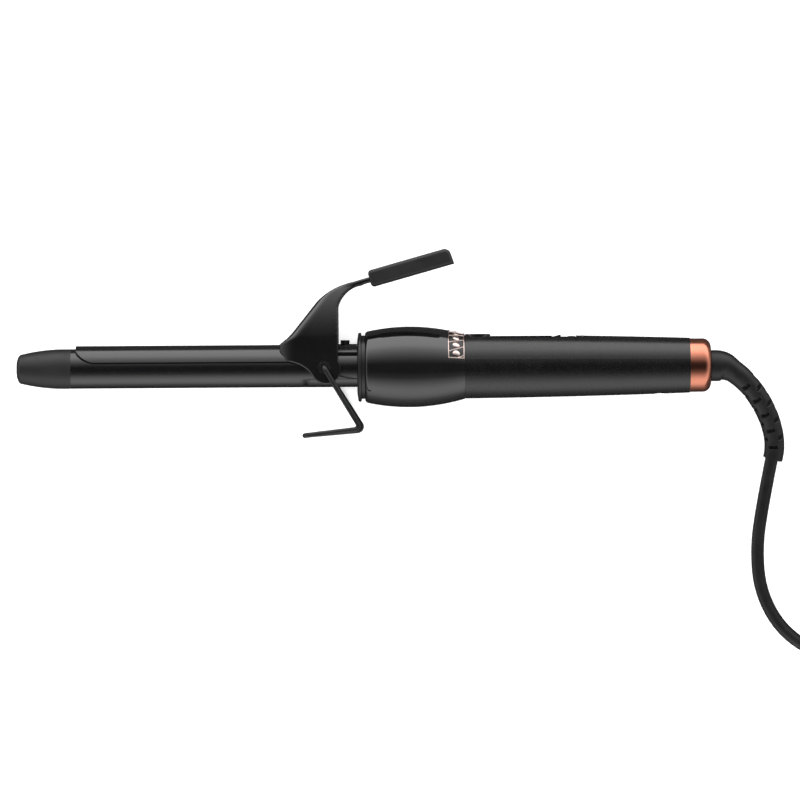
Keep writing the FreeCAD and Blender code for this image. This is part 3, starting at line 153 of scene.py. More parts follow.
def metal(name, dark, light, smooth, rough, stretch):
    """A metal whose fine lines run across the stretched axis."""
    finish = Finish(name, Metallic=1.0)
    lines = finish.noise(1.0, detail=6.0, stretch=stretch)
    finish.colour(finish.noise(90.0), dark, light)
    finish.roughness(lines, smooth, rough)
    finish.bump(lines, 0.000002)
    return finish.material


def ceramic_coat():
    """Black ceramic coating: glossy, with specks just below the surface and a faint orange peel."""
    finish = Finish("barrel_ceramic", IOR=1.62, Specular_IOR_Level=0.95)
    finish.colour(finish.cells(5200.0), (0.0095, 0.0095, 0.0105), (0.0032, 0.0032, 0.0036), 0.05, 0.3)
    finish.roughness(finish.noise(160.0), 0.14, 0.2)
    finish.bump(finish.noise(900.0, detail=2.0), 0.0000025)
    return finish.material


def soft_touch():
    """Soft black lacquer on the handle: a satin sheen and a very fine grain."""
    finish = Finish("soft_black", IOR=1.6, Specular_IOR_Level=0.7)
    finish.colour(finish.noise(70.0), grey(0.0024), grey(0.0036))
    finish.roughness(finish.noise(420.0), 0.22, 0.3)
    finish.bump(finish.noise(5200.0, detail=2.0), 0.0000012)
    return finish.material


def satin_copper():
    """The turned end cap: copper paint with fine lines around the axis."""
    finish = Finish("copper_satin", Metallic=1.0)
    finish.colour(finish.noise(120.0), (0.86, 0.31, 0.20), (0.96, 0.36, 0.24))
    lines = finish.noise(1.0, detail=6.0, stretch=(3800.0, 14.0, 14.0))
    finish.roughness(lines, 0.18, 0.25)
    finish.bump(lines, 0.0000025)
    return finish.material


def rose_gold():
    """Bright gilding, slightly pink."""
    finish = Finish("rose_gold", Metallic=1.0)
    finish.colour(finish.noise(300.0), (0.86, 0.68, 0.62), (0.95, 0.79, 0.74))
    finish.roughness(finish.noise(1500.0), 0.12, 0.22)
    finish.bump(finish.noise(2600.0, detail=2.0), 0.000003)
    return finish.material


def clear_lens():
    """A smoked window over a display that is off: nearly black, under a glossy face."""
    finish = Finish("clear_lens", IOR=1.52, Coat_Weight=0.5, Coat_Roughness=0.03)
    finish.colour(finish.noise(50.0), (0.0035, 0.004, 0.0046), (0.006, 0.0068, 0.0076))
    finish.roughness(finish.noise(300.0), 0.06, 0.1)
    return finish.material


def enamelled_wire():
    """Black enamel on the stand's wire, a little uneven."""
    finish = Finish("stand_steel", IOR=1.5, Specular_IOR_Level=0.8)
    finish.colour(finish.noise(200.0), grey(0.004), grey(0.008))
    finish.roughness(finish.noise(700.0), 0.26, 0.4)
    finish.bump(finish.noise(1800.0), 0.00001)
    return finish.material


def board_finish():
    """Green solder mask with straight copper tracks showing under it."""
    finish = Finish("circuit_board", Coat_Weight=0.3)
    finish.colour(finish.waves(260.0, "X"), (0.012, 0.075, 0.03), (0.03, 0.15, 0.06), 0.55, 0.62)
    finish.roughness(finish.noise(500.0), 0.3, 0.42)
    finish.bump(finish.waves(260.0, "X"), 0.00002)
    return finish.material


def tie_finish():
    """Hook-and-loop tape: a fuzz of short loops."""
    finish = Finish("tie_plastic", Sheen_Weight=0.4)
    finish.colour(finish.cells(3200.0), grey(0.035), grey(0.01), 0.1, 0.6)
    finish.roughness(finish.noise(900.0), 0.8, 0.95)
    finish.bump(finish.cells(3200.0), 0.00018)
    return finish.material


def cord_finish():
    """The cord's rubbery jacket."""
    finish = Finish("cord_jacket", IOR=1.48, Specular_IOR_Level=0.7)
    finish.colour(finish.noise(110.0), grey(0.004), grey(0.007))
    finish.roughness(finish.noise(500.0), 0.34, 0.46)
    finish.bump(finish.noise(1500.0, detail=3.0), 0.000012)
    return finish.material


def glazed_display():
    """A dark display behind its own glass."""
    finish = Finish("display", Coat_Weight=1.0, Coat_Roughness=0.04)
    finish.colour(finish.noise(90.0), (0.012, 0.015, 0.018), (0.022, 0.026, 0.03))
    finish.roughness(finish.noise(600.0), 0.25, 0.35)
    return finish.material


# One finish for each material slot in the record. A moulded finish gives its darkest and lightest colour,
# its lowest and highest roughness, and the scale and depth of its grain. A metal gives the same without
# the grain, and the scale of its fine lines along each axis.
MATERIALS = {
    "barrel_ceramic": ceramic_coat(),
    "soft_black": soft_touch(),
    "copper_satin": satin_copper(),
    "rose_gold": rose_gold(),
    "clear_lens": clear_lens(),
    "stand_steel": enamelled_wire(),
    "circuit_board": board_finish(),
    "tie_plastic": tie_finish(),
    "cord_jacket": cord_finish(),
    "display": glazed_display(),
    "gloss_black": moulded(
        "gloss_black", grey(0.0032), grey(0.0052), 0.05, 0.085, 1400.0, 0.0000012,
        IOR=1.6, Specular_IOR_Level=1.0,
    ),
    "tip_plastic": moulded(
        "tip_plastic", grey(0.0065), grey(0.009), 0.42, 0.54, 2600.0, 0.00002, Specular_IOR_Level=0.75
    ),
    "thumb_rubber": moulded(
        "thumb_rubber", grey(0.0065), grey(0.0095), 0.38, 0.48, 3400.0, 0.000018, Specular_IOR_Level=0.85
    ),
    "relief_rubber": moulded(
        "relief_rubber", grey(0.0035), grey(0.006), 0.36, 0.48, 2800.0, 0.00002, Specular_IOR_Level=0.6
    ),
    "plug_plastic": moulded(
        "plug_plastic", grey(0.005), grey(0.008), 0.34, 0.44, 2400.0, 0.000018, Specular_IOR_Level=0.75
    ),
    "shield_plastic": moulded(
        "shield_plastic", grey(0.005), grey(0.008), 0.3, 0.4, 2400.0, 0.000015, Specular_IOR_Level=0.8
    ),
    "button_black": moulded(
        "button_black", grey(0.004), grey(0.007), 0.2, 0.28, 2200.0, 0.000006, Specular_IOR_Level=0.8
    ),
    "bracket_steel": moulded(
        "bracket_steel", grey(0.004), grey(0.007), 0.2, 0.3, 1500.0, 0.000006, IOR=1.6,
        Specular_IOR_Level=0.9,
    ),
    "socket_plastic": moulded("socket_plastic", grey(0.012), grey(0.02), 0.45, 0.6, 1600.0, 0.00002),
    "switch_plastic": moulded("switch_plastic", grey(0.01), grey(0.015), 0.4, 0.5, 2000.0, 0.00001),
    "component_plastic": moulded(
        "component_plastic", grey(0.012), grey(0.025), 0.35, 0.5, 2000.0, 0.00001
    ),
    "insulating_film": moulded(
        "insulating_film", (0.55, 0.24, 0.03), (0.66, 0.31, 0.05), 0.2, 0.32, 700.0, 0.00002
    ),
    "lead_sleeve": moulded(
        "lead_sleeve", (0.62, 0.60, 0.56), (0.74, 0.72, 0.68), 0.5, 0.65, 3000.0, 0.00004
    ),
    "heater_ceramic": moulded(
        "heater_ceramic", (0.55, 0.53, 0.48), (0.68, 0.66, 0.61), 0.6, 0.75, 1800.0, 0.00003
    ),
    "heater_aluminium": metal(
        "heater_aluminium", grey(0.62), grey(0.74), 0.3, 0.45, (30.0, 1600.0, 1600.0)
    ),
    "brass": metal("brass", (0.62, 0.43, 0.16), (0.74, 0.54, 0.22), 0.22, 0.34, (40.0, 1500.0, 1500.0)),
    "pin_brass": metal(
        "pin_brass", (0.66, 0.62, 0.54), (0.78, 0.74, 0.66), 0.16, 0.26, (1500.0, 60.0, 1500.0)
    ),
    "steel": metal("steel", grey(0.34), grey(0.46), 0.22, 0.34, (1200.0, 1200.0, 1200.0)),
}

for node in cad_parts.values():
    for slot in node.material_slots:
        slot.material = MATERIALS[slot.material.name.split(".")[0]]


# ---------------------------------------------------------------- mesh helpers

def free_piece(name, mesh, slot, *nodes):
    """A piece that wears a slot's finish and stands for the named CAD nodes."""
    piece = bpy.data.objects.new(name, mesh)
    bpy.context.scene.collection.objects.link(piece)
    mesh.materials.append(MATERIALS[slot])
    if nodes:
        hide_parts(*nodes)
    return piece


def new_piece(name, mesh, body, slot, *nodes):
    """A piece as above that rides on a body."""
    piece = free_piece(name, mesh, slot, *nodes)
    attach(piece, body)
    return piece


def turn_faces_outwards(mesh):
    made = bmesh.new()
    made.from_mesh(mesh)
    bmesh.ops.recalc_face_normals(made, faces=made.faces)
    made.to_mesh(mesh)
    made.free()


def skin(name, rings):
    """A closed mesh over rings of points that all have the same count: smooth, with flat ends."""
    count = len(rings[0])
    faces = []
    for row in range(len(rings) - 1):
        for column in range(count):
            right = (column + 1) % count
            below, above = row * count, (row + 1) * count
            faces.append((below + column, below + right, above + right, above + column))
    faces.append(tuple(reversed(range(count))))
    faces.append(tuple(range((len(rings) - 1) * count, len(rings) * count)))
    mesh = bpy.data.meshes.new(name)
    mesh.from_pydata([point for ring in rings for point in ring], [], faces)
    mesh.polygons.foreach_set("use_smooth", [len(face) == 4 for face in faces])
    turn_faces_outwards(mesh)
    return mesh


def graded(distance, stations):
    """The value at a distance, on a smooth rise or fall between neighbouring (distance, value) pairs."""
    for (start, first), (end, last) in zip(stations, stations[1:]):
        if distance <= end:
            share = max(0.0, (distance - start) / (end - start))
            share = share * share * (3 - 2 * share)
            return first + (last - first) * share
    return stations[-1][1]


def plateau(value, half_width, edge):
    """1 within half_width of zero, 0 outside it, over a soft edge."""
    return min(1.0, max(0.0, (half_width - abs(value)) / edge + 0.5))


def rings_along(path, radius_at, count):
    """Rings of points around a path. radius_at takes the distance along it and the angle around."""
    rings = []
    distance = 0.0
    side = None
    for index, point in enumerate(path):
        ahead = path[min(index + 1, len(path) - 1)] - path[max(index - 1, 0)]
        ahead.normalize()
        if side is None:
            side = ahead.cross(Vector((0, 0, 1))).normalized()
        else:
            distance += (point - path[index - 1]).length
            side = (side - ahead * side.dot(ahead)).normalized()
        up = side.cross(ahead)
        ring = []
        for step in range(count):
            angle = math.tau * step / count
            reach = radius_at(distance, angle)
            ring.append(point + side * (math.cos(angle) * reach) + up * (math.sin(angle) * reach))
        rings.append(ring)
    return rings


def same_all_along(radius):
    """A radius_at for rings_along that never changes."""
    return lambda distance, angle: radius


# ---------------------------------------------------------------- camera and cord

# The camera looks straight down on the iron, which lies on its side.
VIEW_CENTRE = Vector((0.0, -0.02176))
CAMERA_ABOVE_AXIS = 3.0
VIEW_WIDTH = 0.384
CAMERA_ROLL = math.radians(-0.363)
SENSOR_WIDTH = 36.0

camera = bpy.data.objects.new("camera", bpy.data.cameras.new("camera"))
bpy.context.scene.collection.objects.link(camera)
camera.location = (VIEW_CENTRE.x, VIEW_CENTRE.y, AXIS_START.z + CAMERA_ABOVE_AXIS)
camera.rotation_euler = (0.0, 0.0, CAMERA_ROLL)
camera.data.sensor_width = SENSOR_WIDTH
camera.data.lens = SENSOR_WIDTH * CAMERA_ABOVE_AXIS / VIEW_WIDTH
camera.data.clip_start = 0.1
camera.data.clip_end = 50.0
bpy.context.scene.camera = camera

CORD_RADIUS = 0.0031

# The cord leaves the strain relief, sinks to the floor, and bends under the iron's end.
ROUTE = [
    (0.1789, -0.0512, 0.0072),
    (0.1745, -0.0734, 0.0044),
    (0.1715, -0.0944, 0.00315),
    (0.1733, -0.1159, 0.00315),
    (0.1839, -0.1349, 0.00315),
    (0.2026, -0.1465, 0.00315),
    (0.2241, -0.1491, 0.00315),
]
COIL_CENTRE = Vector((0.2461, -0.1110, 0.0))
# The radius and height of each turn in the bundle, in the order in which the cord fills it.
COIL_TURNS = [
    (0.0381, 0.0031),
    (0.0319, 0.0031),
    (0.0288, 0.0085),
    (0.0319, 0.0138),
    (0.0381, 0.0138),
    (0.0350, 0.0085),
    (0.0412, 0.0085),
]
POINTS_PER_TURN = 16
SHIFT_POINTS = 4
# The cord leaves the coil straight for the plug.
TAIL = [
    (0.2873, -0.0960, 0.0082),
    (0.2873, -0.0820, 0.0075),
    (0.2873, -0.0679, 0.00685),
]


def coil_points():
    """The turns of the coil, counter-clockwise from its near side, then a quarter turn to leave it.

    The cord moves over to the next turn in the last few points of each turn.
    """
    reach = 1.0 / math.cos(math.pi / POINTS_PER_TURN)
    points = []
    for index in range(len(COIL_TURNS) * POINTS_PER_TURN + POINTS_PER_TURN // 4):
        turn, step = divmod(index, POINTS_PER_TURN)
        here = COIL_TURNS[min(turn, len(COIL_TURNS) - 1)]
        after = COIL_TURNS[min(turn + 1, len(COIL_TURNS) - 1)]
        share = max(0.0, (step - (POINTS_PER_TURN - SHIFT_POINTS)) / SHIFT_POINTS)
        radius = (here[0] + (after[0] - here[0]) * share) * reach
        height = here[1] + (after[1] - here[1]) * share
        angle = math.radians(-90) + math.tau * step / POINTS_PER_TURN
        points.append(
            COIL_CENTRE + Vector((math.cos(angle) * radius, math.sin(angle) * radius, height))
        )
    return points


cord_curve = bpy.data.curves.new("cord", "CURVE")
cord_curve.dimensions = "3D"
cord_line = cord_curve.splines.new("NURBS")
cord_points = [*ROUTE, *coil_points(), *TAIL]
cord_line.points.add(len(cord_points) - 1)
for control, point in zip(cord_line.points, cord_points):
    control.co = (*point, 1.0)
cord_line.order_u = 3
cord_line.use_endpoint_u = True
cord_line.resolution_u = 6
cord_curve.bevel_depth = CORD_RADIUS
cord_curve.bevel_resolution = 6
cord_curve.use_fill_caps = True
cord = new_piece("cord", cord_curve, "cord", "cord_jacket", "cord_tube", "cord_coil", "cord_tail")


# ---------------------------------------------------------------- strain relief

# The relief follows two curves, each with a start, two handles and an end.
RELIEF_START = from_tip(333.1, -0.3, 0)
ROOT_HANDLES = (from_tip(337.6, -0.3, 0), from_tip(339.3, -0.4, -0.01))
RELIEF_ROOT_END = from_tip(341.2, -1.35, -0.05)
BEND_HANDLES = (from_tip(354.2, -7.8, -0.3), from_tip(367.6, -30.3, -9.9))
RELIEF_END = from_tip(363.3, -45.3, -12.15)
POINTS_ON_ROOT = 34
POINTS_ON_BEND = 230
POINTS_PER_RELIEF_RING = 128
# The distance from the relief's start, and its radius there.
RELIEF_RADII = [
    (0.0, 0.00748),
    (0.0035, 0.00742),
    (0.0130, 0.00548),
    (0.0240, 0.0051),
    (0.0590, 0.0048),
]
SLOTS_IN_ROW = 3
SLOT_SPACING = math.tau / SLOTS_IN_ROW
SLOT_TURN = math.radians(-6)
SLOT_PITCH = 0.0087
SLOT_FIRST = 0.0205
SLOT_ROWS = 9
SLOT_HALF_LENGTH = 0.0008
SLOT_HALF_ANGLE = 0.45
SLOT_DEPTH = 0.0022


def relief_radius(distance, angle):
    """The relief's radius, less the slots: each row of them is turned by half their spacing."""
    radius = graded(distance, RELIEF_RADII)
    row = round((distance - SLOT_FIRST) / (SLOT_PITCH / 2))
    centre = SLOT_FIRST + row * SLOT_PITCH / 2
    if 0 <= row < SLOT_ROWS:
        turned = (angle + SLOT_TURN + row % 2 * SLOT_SPACING / 2) % SLOT_SPACING
        along = plateau(distance - centre, SLOT_HALF_LENGTH, 0.0004)
        around = plateau(turned - SLOT_SPACING / 2, SLOT_HALF_ANGLE, 0.08)
        radius -= SLOT_DEPTH * along * around
    return radius


relief_root = interpolate_bezier(RELIEF_START, *ROOT_HANDLES, RELIEF_ROOT_END, POINTS_ON_ROOT)
relief_bend = interpolate_bezier(RELIEF_ROOT_END, *BEND_HANDLES, RELIEF_END, POINTS_ON_BEND)
relief_path = [*relief_root, *relief_bend[1:]]
relief_rings = rings_along(relief_path, relief_radius, POINTS_PER_RELIEF_RING)
relief_mesh = skin("strain_relief_ribbed", relief_rings)
new_piece("strain_relief_ribbed", relief_mesh, "cord", "relief_rubber", "strain_relief")


# ---------------------------------------------------------------- return spring

SPRING_STATION = 149.1
SPRING_FOOT = 11.95
SPRING_HEIGHT = 11.0
SPRING_RADIUS = 2.5
SPRING_TURNS = 5.5
SPRING_WIRE_RADIUS = 0.00045
STEPS_PER_SPRING_TURN = 24

spring_path = []
spring_steps = round(SPRING_TURNS * STEPS_PER_SPRING_TURN)
for step in range(spring_steps + 1):
    turn = math.tau * step / STEPS_PER_SPRING_TURN
    spring_path.append(from_tip(
        SPRING_STATION + SPRING_RADIUS * math.cos(turn),
        SPRING_FOOT + SPRING_HEIGHT * step / spring_steps,
        SPRING_RADIUS * math.sin(turn),
    ))
spring_rings = rings_along(spring_path, same_all_along(SPRING_WIRE_RADIUS), 12)
spring_mesh = skin("return_spring_wire", spring_rings)
spring = free_piece("return_spring_wire", spring_mesh, "steel", "return_spring")
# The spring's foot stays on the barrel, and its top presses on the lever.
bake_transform(spring)


# ---------------------------------------------------------------- plug

PLUG_STATION = 471.2
PLUG_AXIS_UP = 6.85 - AXIS_START.z / MM
BOOT_START = -62.0
BOOT_LENGTH = 14.5
BOOT_STEPS = 70
BOOT_END_RADIUS = 0.0044
BOOT_WIDENING = 0.0012
FIRST_GROOVE = 0.0025
GROOVE_PITCH = 0.0024
GROOVES = 5
GROOVE_DEPTH = 0.0007


def plug_boot_radius(distance, angle):
    """The boot widens towards the plug, and round grooves let it bend."""
    radius = BOOT_END_RADIUS + BOOT_WIDENING * distance / (BOOT_LENGTH * MM)
    groove = round((distance - FIRST_GROOVE) / GROOVE_PITCH)
    if 0 <= groove < GROOVES:
        radius -= GROOVE_DEPTH * plateau(distance - FIRST_GROOVE - groove * GROOVE_PITCH, 0.0005, 0.0006)
    return radius


boot_path = [
    from_tip(PLUG_STATION, BOOT_START + BOOT_LENGTH * step / BOOT_STEPS, PLUG_AXIS_UP)
    for step in range(BOOT_STEPS + 1)
]
boot_mesh = skin("plug_boot", rings_along(boot_path, plug_boot_radius, 48))
plug_boot = new_piece("plug_boot", boot_mesh, "cord", "relief_rubber", "plug_relief")

PLUG_REAR = -48.0
PLUG_LENGTH = 34.0
PLUG_STEPS = 170
POINTS_PER_PLUG_RING = 96
# The distance from the plug's rear, the half width and the half height, all in millimetres.
PLUG_SECTIONS = [
    (0.0, 5.6, 5.0),
    (0.5, 6.6, 5.8),
    (2.0, 7.2, 6.3),
    (10.0, 9.6, 6.75),
    (20.0, 16.2, 6.8),
    (25.0, 17.5, 6.8),
    (31.5, 17.6, 6.8),
    (33.4, 17.3, 6.5),
    (34.0, 16.6, 5.9),
]
PLUG_SQUARENESS = 3.6
RIDGE_PITCH = 2.2
RIDGE_HEIGHT = 0.35
RIDGES_MIDDLE = 14.0
RIDGES_HALF_LENGTH = 7.0


def plug_ring(distance):
    """A rounded-rectangle section of the plug, with finger ridges on its two narrow sides.

    The distance is in millimetres from the plug's rear.
    """
    half_width = graded(distance, [(section[0], section[1]) for section in PLUG_SECTIONS])
    half_height = graded(distance, [(section[0], section[2]) for section in PLUG_SECTIONS])
    ridged = plateau(distance - RIDGES_MIDDLE, RIDGES_HALF_LENGTH, 2.0)
    ridge = RIDGE_HEIGHT * ridged * math.cos(math.tau * distance / RIDGE_PITCH)
    ring = []
    for step in range(POINTS_PER_PLUG_RING):
        angle = math.tau * step / POINTS_PER_PLUG_RING
        across, up = math.cos(angle), math.sin(angle)
        reach = (abs(across) ** PLUG_SQUARENESS + abs(up) ** PLUG_SQUARENESS) ** (-1 / PLUG_SQUARENESS)
        sideways = abs(across) ** 3
        width = (half_width - RIDGE_HEIGHT + ridge * sideways + RIDGE_HEIGHT * (1 - sideways)) * reach
        height = half_height * reach
        ring.append(from_tip(
            PLUG_STATION + across * width, PLUG_REAR + distance, PLUG_AXIS_UP + up * height
        ))
    return ring


plug_rings = [plug_ring(PLUG_LENGTH * step / PLUG_STEPS) for step in range(PLUG_STEPS + 1)]
plug_shell = new_piece("plug_shell", skin("plug_shell", plug_rings), "cord", "plug_plastic", "plug_body")

PIN_OFFSET = 9.5
SLEEVE_START = -14.2
SLEEVE_LENGTH = 9.0
SLEEVE_RADIUS = 0.00206
SLEEVE_STEPS = 8

for side, label in ((-1, "left"), (1, "right")):
    name = f"pin_sleeve_{label}"
    sleeve_path = [
        from_tip(
            PLUG_STATION + side * PIN_OFFSET,
            SLEEVE_START + SLEEVE_LENGTH * step / SLEEVE_STEPS,
            PLUG_AXIS_UP,
        )
        for step in range(SLEEVE_STEPS + 1)
    ]
    sleeve_mesh = skin(name, rings_along(sleeve_path, same_all_along(SLEEVE_RADIUS), 32))
    new_piece(name, sleeve_mesh, "cord", "plug_plastic")


# ---------------------------------------------------------------- gilt band

# Sizes and distances along the band are in millimetres.
BAND_START = 207.05
BAND_LENGTH = 7.8
BAND_HALF_ANGLE = math.radians(76.9)
BAND_RADIUS = 17.75
BAND_TAPER = 0.22
BAND_CURVE = 0.0028
BAND_UNDERSIDE = [(BAND_LENGTH, 14.5), (0.0, 16.35)]
BAND_FIELD_DEPTH = 0.65
BAND_RIM_WIDTH = 0.5
BAND_END_ANGLE = 0.04
ENAMEL_DEPTH = 0.36
ENAMEL_THICKNESS = 0.25
ENAMEL_INSET = 0.3
ENAMEL_END_ANGLE = 0.02
ENAMEL_STEPS_ALONG = 8
STUD_ANGLE = math.radians(17.0)
STUD_RADIUS = 1.9
RIB_HEIGHT_SHARE = 0.85
RIB_SLANT = 0.45
RIB_HALF_WIDTH = 0.32
STEPS_ALONG = 56
GILT_STEPS_AROUND = 520
ENAMEL_STEPS_AROUND = 120


def band_outer(along):
    """The radius of the band's raised parts, which follow the housing's curve."""
    return BAND_RADIUS - BAND_TAPER * along - BAND_CURVE * along * along


def band_top(along, angle):
    """The band's radius: raised rims, a row of round studs, and slanted ribs between them."""
    outer = band_outer(along)
    from_middle = along - BAND_LENGTH / 2
    rim = 1.0 - plateau(from_middle, BAND_LENGTH / 2 - BAND_RIM_WIDTH, 0.2)
    end = 1.0 - plateau(angle, BAND_HALF_ANGLE - BAND_END_ANGLE, 0.02)
    stud_number = round(angle / STUD_ANGLE)
    off_stud = math.hypot((angle - stud_number * STUD_ANGLE) * outer, from_middle)
    stud = math.sqrt(max(0.0, 1.0 - (off_stud / STUD_RADIUS) ** 2))
    rib_centre = (math.floor(angle / STUD_ANGLE) + 0.5) * STUD_ANGLE
    off_rib = (angle - rib_centre) * outer + RIB_SLANT * from_middle
    rib = RIB_HEIGHT_SHARE * plateau(off_rib, RIB_HALF_WIDTH, 0.3)
    return outer - BAND_FIELD_DEPTH * (1.0 - max(rim, end, stud, rib))


def band_slice(outline, angle):
    """An outline of (distance along the band, radius) pairs, turned to an angle from the lever's side."""
    return [
        from_tip(BAND_START + along, radius * math.cos(angle), radius * math.sin(angle))
        for along, radius in outline
    ]


def gilt_slice(angle):
    stations = [BAND_LENGTH * step / STEPS_ALONG for step in range(STEPS_ALONG + 1)]
    outline = [(along, band_top(along, angle)) for along in stations]
    return band_slice(outline + BAND_UNDERSIDE, angle)


def enamel_slice(angle):
    length = BAND_LENGTH - 2 * ENAMEL_INSET
    stations = [
        ENAMEL_INSET + length * step / ENAMEL_STEPS_ALONG for step in range(ENAMEL_STEPS_ALONG + 1)
    ]
    surface = [(along, band_outer(along) - ENAMEL_DEPTH) for along in stations]
    underside = [(along, radius - ENAMEL_THICKNESS) for along, radius in reversed(surface)]
    return band_slice(surface + underside, angle)


def spread_around(half_angle, steps):
    """Evenly spaced angles from minus half_angle to half_angle."""
    return [half_angle * (2 * step / steps - 1) for step in range(steps + 1)]


gilt_rings = [gilt_slice(angle) for angle in spread_around(BAND_HALF_ANGLE, GILT_STEPS_AROUND)]
new_piece("gilt_band", skin("gilt_band", gilt_rings), "iron", "rose_gold", "trim_band")
enamel_angles = spread_around(BAND_HALF_ANGLE - ENAMEL_END_ANGLE, ENAMEL_STEPS_AROUND)
enamel_rings = [enamel_slice(angle) for angle in enamel_angles]
new_piece("band_enamel", skin("band_enamel", enamel_rings), "iron", "button_black")


# ---------------------------------------------------------------- marks on the keys

ACROSS = Vector((0, 0, 1))
ALONG = Vector((1, 0, 0))
PLUS_SLOPE = Vector((3.9, 1.1, 0)).normalized()
PLUS_CENTRE = Vector((259.2, 14.5, 0))
MINUS_CENTRE = Vector((266.35, 14.3, 0))
KEY_MARK_LENGTH = 2.2
KEY_MARK_WIDTH = 0.4
POWER_BAR_CENTRE = Vector((219.75, 14.95, 0))
POWER_BAR_LENGTH = 1.7
POWER_BAR_WIDTH = 0.36
MARK_SUNK = 0.05
MARK_PROUD = 0.1
POWER_STATION = 221.35
POWER_FACE = 14.95
POWER_RING_RADIUS = 1.6
POWER_RING_HALF_ANGLE = math.radians(140)
POWER_RING_STEPS = 48
POWER_RING_WIRE_RADIUS = 0.00018


def raised_bar(name, body, centre, length_way, width_way, length, width):
    """A thin metal bar that stands a little proud of the face that it lies on."""
    up = length_way.cross(width_way).normalized()
    corners = []
    for lift in (-MARK_SUNK, MARK_PROUD):
        for along, across in ((-1, -1), (1, -1), (1, 1), (-1, 1)):
            offset = length_way * (along * length / 2) + width_way * (across * width / 2) + up * lift
            corners.append(from_tip(*(centre + offset)))
    mesh = bpy.data.meshes.new(name)
    faces = [(3, 2, 1, 0), (4, 5, 6, 7)]
    faces += [(n, (n + 1) % 4, (n + 1) % 4 + 4, n + 4) for n in range(4)]
    mesh.from_pydata(corners, [], faces)
    turn_faces_outwards(mesh)
    new_piece(name, mesh, body, "steel")


raised_bar(
    "plus_mark_long", "plus_button", PLUS_CENTRE, PLUS_SLOPE, -ACROSS, KEY_MARK_LENGTH, KEY_MARK_WIDTH
)
raised_bar(
    "plus_mark_cross", "plus_button", PLUS_CENTRE, ACROSS, PLUS_SLOPE, KEY_MARK_LENGTH, KEY_MARK_WIDTH
)
raised_bar("minus_mark", "minus_button", MINUS_CENTRE, ACROSS, ALONG, KEY_MARK_LENGTH, KEY_MARK_WIDTH)
raised_bar(
    "power_mark_bar", "power_button", POWER_BAR_CENTRE, ALONG, -ACROSS, POWER_BAR_LENGTH, POWER_BAR_WIDTH
)

power_ring_path = [
    from_tip(
        POWER_STATION + POWER_RING_RADIUS * math.cos(turn), POWER_FACE, POWER_RING_RADIUS * math.sin(turn)
    )
    for turn in spread_around(POWER_RING_HALF_ANGLE, POWER_RING_STEPS)
]
power_rings = rings_along(power_ring_path, same_all_along(POWER_RING_WIRE_RADIUS), 12)
new_piece("power_mark_ring", skin("power_mark_ring", power_rings), "power_button", "steel")


# ---------------------------------------------------------------- softened edges on the CAD pieces

# How wide the rounding of each piece's edges is, in millimetres.
EDGE_SOFTENING = {
    "coil_tie": 0.3,
    "bracket_screw": 0.35,
    "pivot_eyelets": 0.4,
    "button_bezel": 0.2,
    "power_button": 0.3,
    "plus_button": 0.2,
    "minus_button": 0.2,
    "display_lens": 0.3,
    "pivot_bracket": 0.25,
    "plug_pins": 0.5,
}
for name, width in EDGE_SOFTENING.items():
    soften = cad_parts[name].modifiers.new("soften", "BEVEL")
    soften.width = width * MM
    soften.segments = 3
    soften.limit_method = "ANGLE"
    soften.angle_limit = math.radians(40)


def smooth_like_a_moulding(node):
    """Even out a CAD piece's mesh and soften the creases between its faces."""
    even_mesh = node.modifiers.new("even_mesh", "REMESH")
    even_mesh.mode = "VOXEL"
    even_mesh.voxel_size = 0.4 * MM
    even_mesh.use_smooth_shade = True
    soft_creases = node.modifiers.new("soft_creases", "SMOOTH")
    soft_creases.factor = 0.5
    soft_creases.iterations = 30


smooth_like_a_moulding(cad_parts["lever_saddle"])


# ---------------------------------------------------------------- floor and light

def floor_finish():
    """White paper that glows a little, so that it is as white as the background, and mirrors nothing."""
    finish = Finish("floor_paper", Specular_IOR_Level=0.0)
    finish.colour(finish.noise(9.0), grey(0.90), grey(0.93))
    finish.roughness(finish.noise(40.0), 0.8, 0.9)
    finish.shader.inputs["Emission Color"].default_value = (*grey(1.0), 1.0)
    finish.shader.inputs["Emission Strength"].default_value = 0.35
    return finish.material


HALF_FLOOR = 6.0
floor_mesh = bpy.data.meshes.new("floor")
floor_mesh.from_pydata(
    [(x * HALF_FLOOR, y * HALF_FLOOR, 0.0) for x, y in ((-1, -1), (1, -1), (1, 1), (-1, 1))],
    [],
    [(0, 1, 2, 3)],
)
floor_mesh.materials.append(floor_finish())
floor = bpy.data.objects.new("floor", floor_mesh)
bpy.context.scene.collection.objects.link(floor)
floor.visible_glossy = False


# Angles around the iron's own axis, from straight up and positive towards the lever, with their brightness.
WORLD_STOPS = [
    (-150, 0.02),
    (-129, 0.06),
    (-112, 0.15),
    (-98, 0.38),
    (-85, 0.53),
    (-70, 0.56),
    (-58, 0.45),
    (-44, 0.25),
    (-32, 0.08),
    (-15, 0.01),
    (8, 0.01),
    (18, 0.07),
    (27, 0.17),
    (36, 0.29),
    (45, 0.44),
    (55, 0.63),
    (64, 0.85),
    (72, 0.92),
    (101, 0.90),
    (106, 0.06),
    (176, 0.03),
]
WORLD_UNDERSIDE = 0.05
WORLD_ENDS = 0.3
END_SHARPNESS = 6.0
PANEL_LIGHT = 1.75


def panel_ramp(nodes):
    """A ramp whose whole width is one turn around the iron's axis."""
    ramp = nodes.new("ShaderNodeValToRGB")
    elements = ramp.color_ramp.elements
    elements.remove(elements[0])
    elements[0].position = 0.0
    elements[0].color = (*grey(WORLD_UNDERSIDE), 1.0)
    for degrees, level in WORLD_STOPS:
        element = elements.new((degrees + 180) / 360)
        element.color = (*grey(level), 1.0)
    return ramp


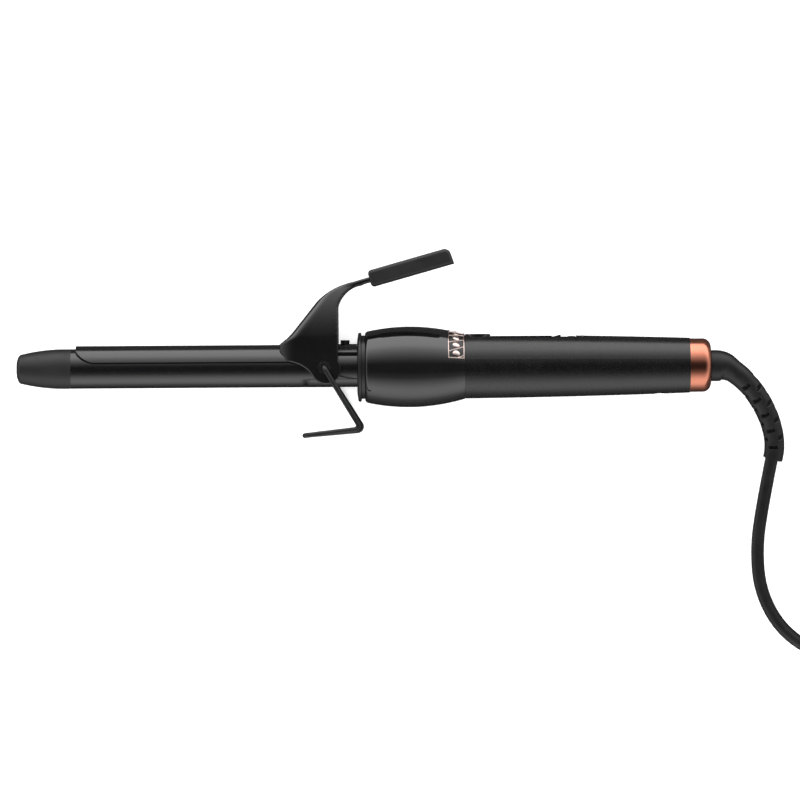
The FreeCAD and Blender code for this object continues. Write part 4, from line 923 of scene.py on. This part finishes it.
def studio_world():
    """Two long bright panels beside the iron and darkness above it, as a tent with a slit in its roof.

    Past the iron's two ends the surroundings are an even grey. The camera sees plain white instead.
    """
    world = bpy.data.worlds.new("studio")
    world.use_nodes = True
    nodes, links = world.node_tree.nodes, world.node_tree.links
    place = nodes.new("ShaderNodeTexCoord")
    parts = nodes.new("ShaderNodeSeparateXYZ")
    links.new(place.outputs["Generated"], parts.inputs["Vector"])

    around = nodes.new("ShaderNodeMath")
    around.operation = "ARCTAN2"
    links.new(parts.outputs["Y"], around.inputs[0])
    links.new(parts.outputs["Z"], around.inputs[1])
    share = nodes.new("ShaderNodeMapRange")
    share.inputs["From Min"].default_value = -math.pi
    share.inputs["From Max"].default_value = math.pi
    links.new(around.outputs[0], share.inputs["Value"])
    ramp = panel_ramp(nodes)
    links.new(share.outputs["Result"], ramp.inputs["Fac"])

    ends = nodes.new("ShaderNodeMath")
    ends.operation = "ABSOLUTE"
    links.new(parts.outputs["X"], ends.inputs[0])
    steep = nodes.new("ShaderNodeMath")
    steep.operation = "POWER"
    steep.inputs[1].default_value = END_SHARPNESS
    links.new(ends.outputs[0], steep.inputs[0])
    blend = nodes.new("ShaderNodeMix")
    blend.data_type = "RGBA"
    sockets = {socket.identifier: socket for socket in [*blend.inputs, *blend.outputs]}
    sockets["B_Color"].default_value = (*grey(WORLD_ENDS), 1.0)
    links.new(ramp.outputs["Color"], sockets["A_Color"])
    links.new(steep.outputs[0], sockets["Factor_Float"])

    light = nodes["Background"]
    light.inputs["Strength"].default_value = PANEL_LIGHT
    links.new(sockets["Result_Color"], light.inputs["Color"])
    plain = nodes.new("ShaderNodeBackground")
    plain.inputs["Color"].default_value = (*grey(1.0), 1.0)
    seen = nodes.new("ShaderNodeLightPath")
    choice = nodes.new("ShaderNodeMixShader")
    links.new(seen.outputs["Is Camera Ray"], choice.inputs[0])
    links.new(light.outputs[0], choice.inputs[1])
    links.new(plain.outputs[0], choice.inputs[2])
    links.new(choice.outputs[0], nodes["World Output"].inputs["Surface"])
    bpy.context.scene.world = world


studio_world()


def soft_box(name, place, size, power):
    """A large lamp, aimed at the origin, that lights surfaces but isn't mirrored in them."""
    data = bpy.data.lights.new(name, "AREA")
    data.shape = "RECTANGLE"
    data.size, data.size_y = size
    data.energy = power
    lamp = bpy.data.objects.new(name, data)
    lamp.location = place
    lamp.rotation_euler = (Vector(place) * -1).to_track_quat("-Z", "Y").to_euler()
    lamp.visible_glossy = False
    bpy.context.scene.collection.objects.link(lamp)


soft_box("ceiling_light", place=(0.0, 0.0, 2.6), size=(3.2, 3.2), power=150.0)

bpy.context.scene.view_settings.view_transform = "Standard"
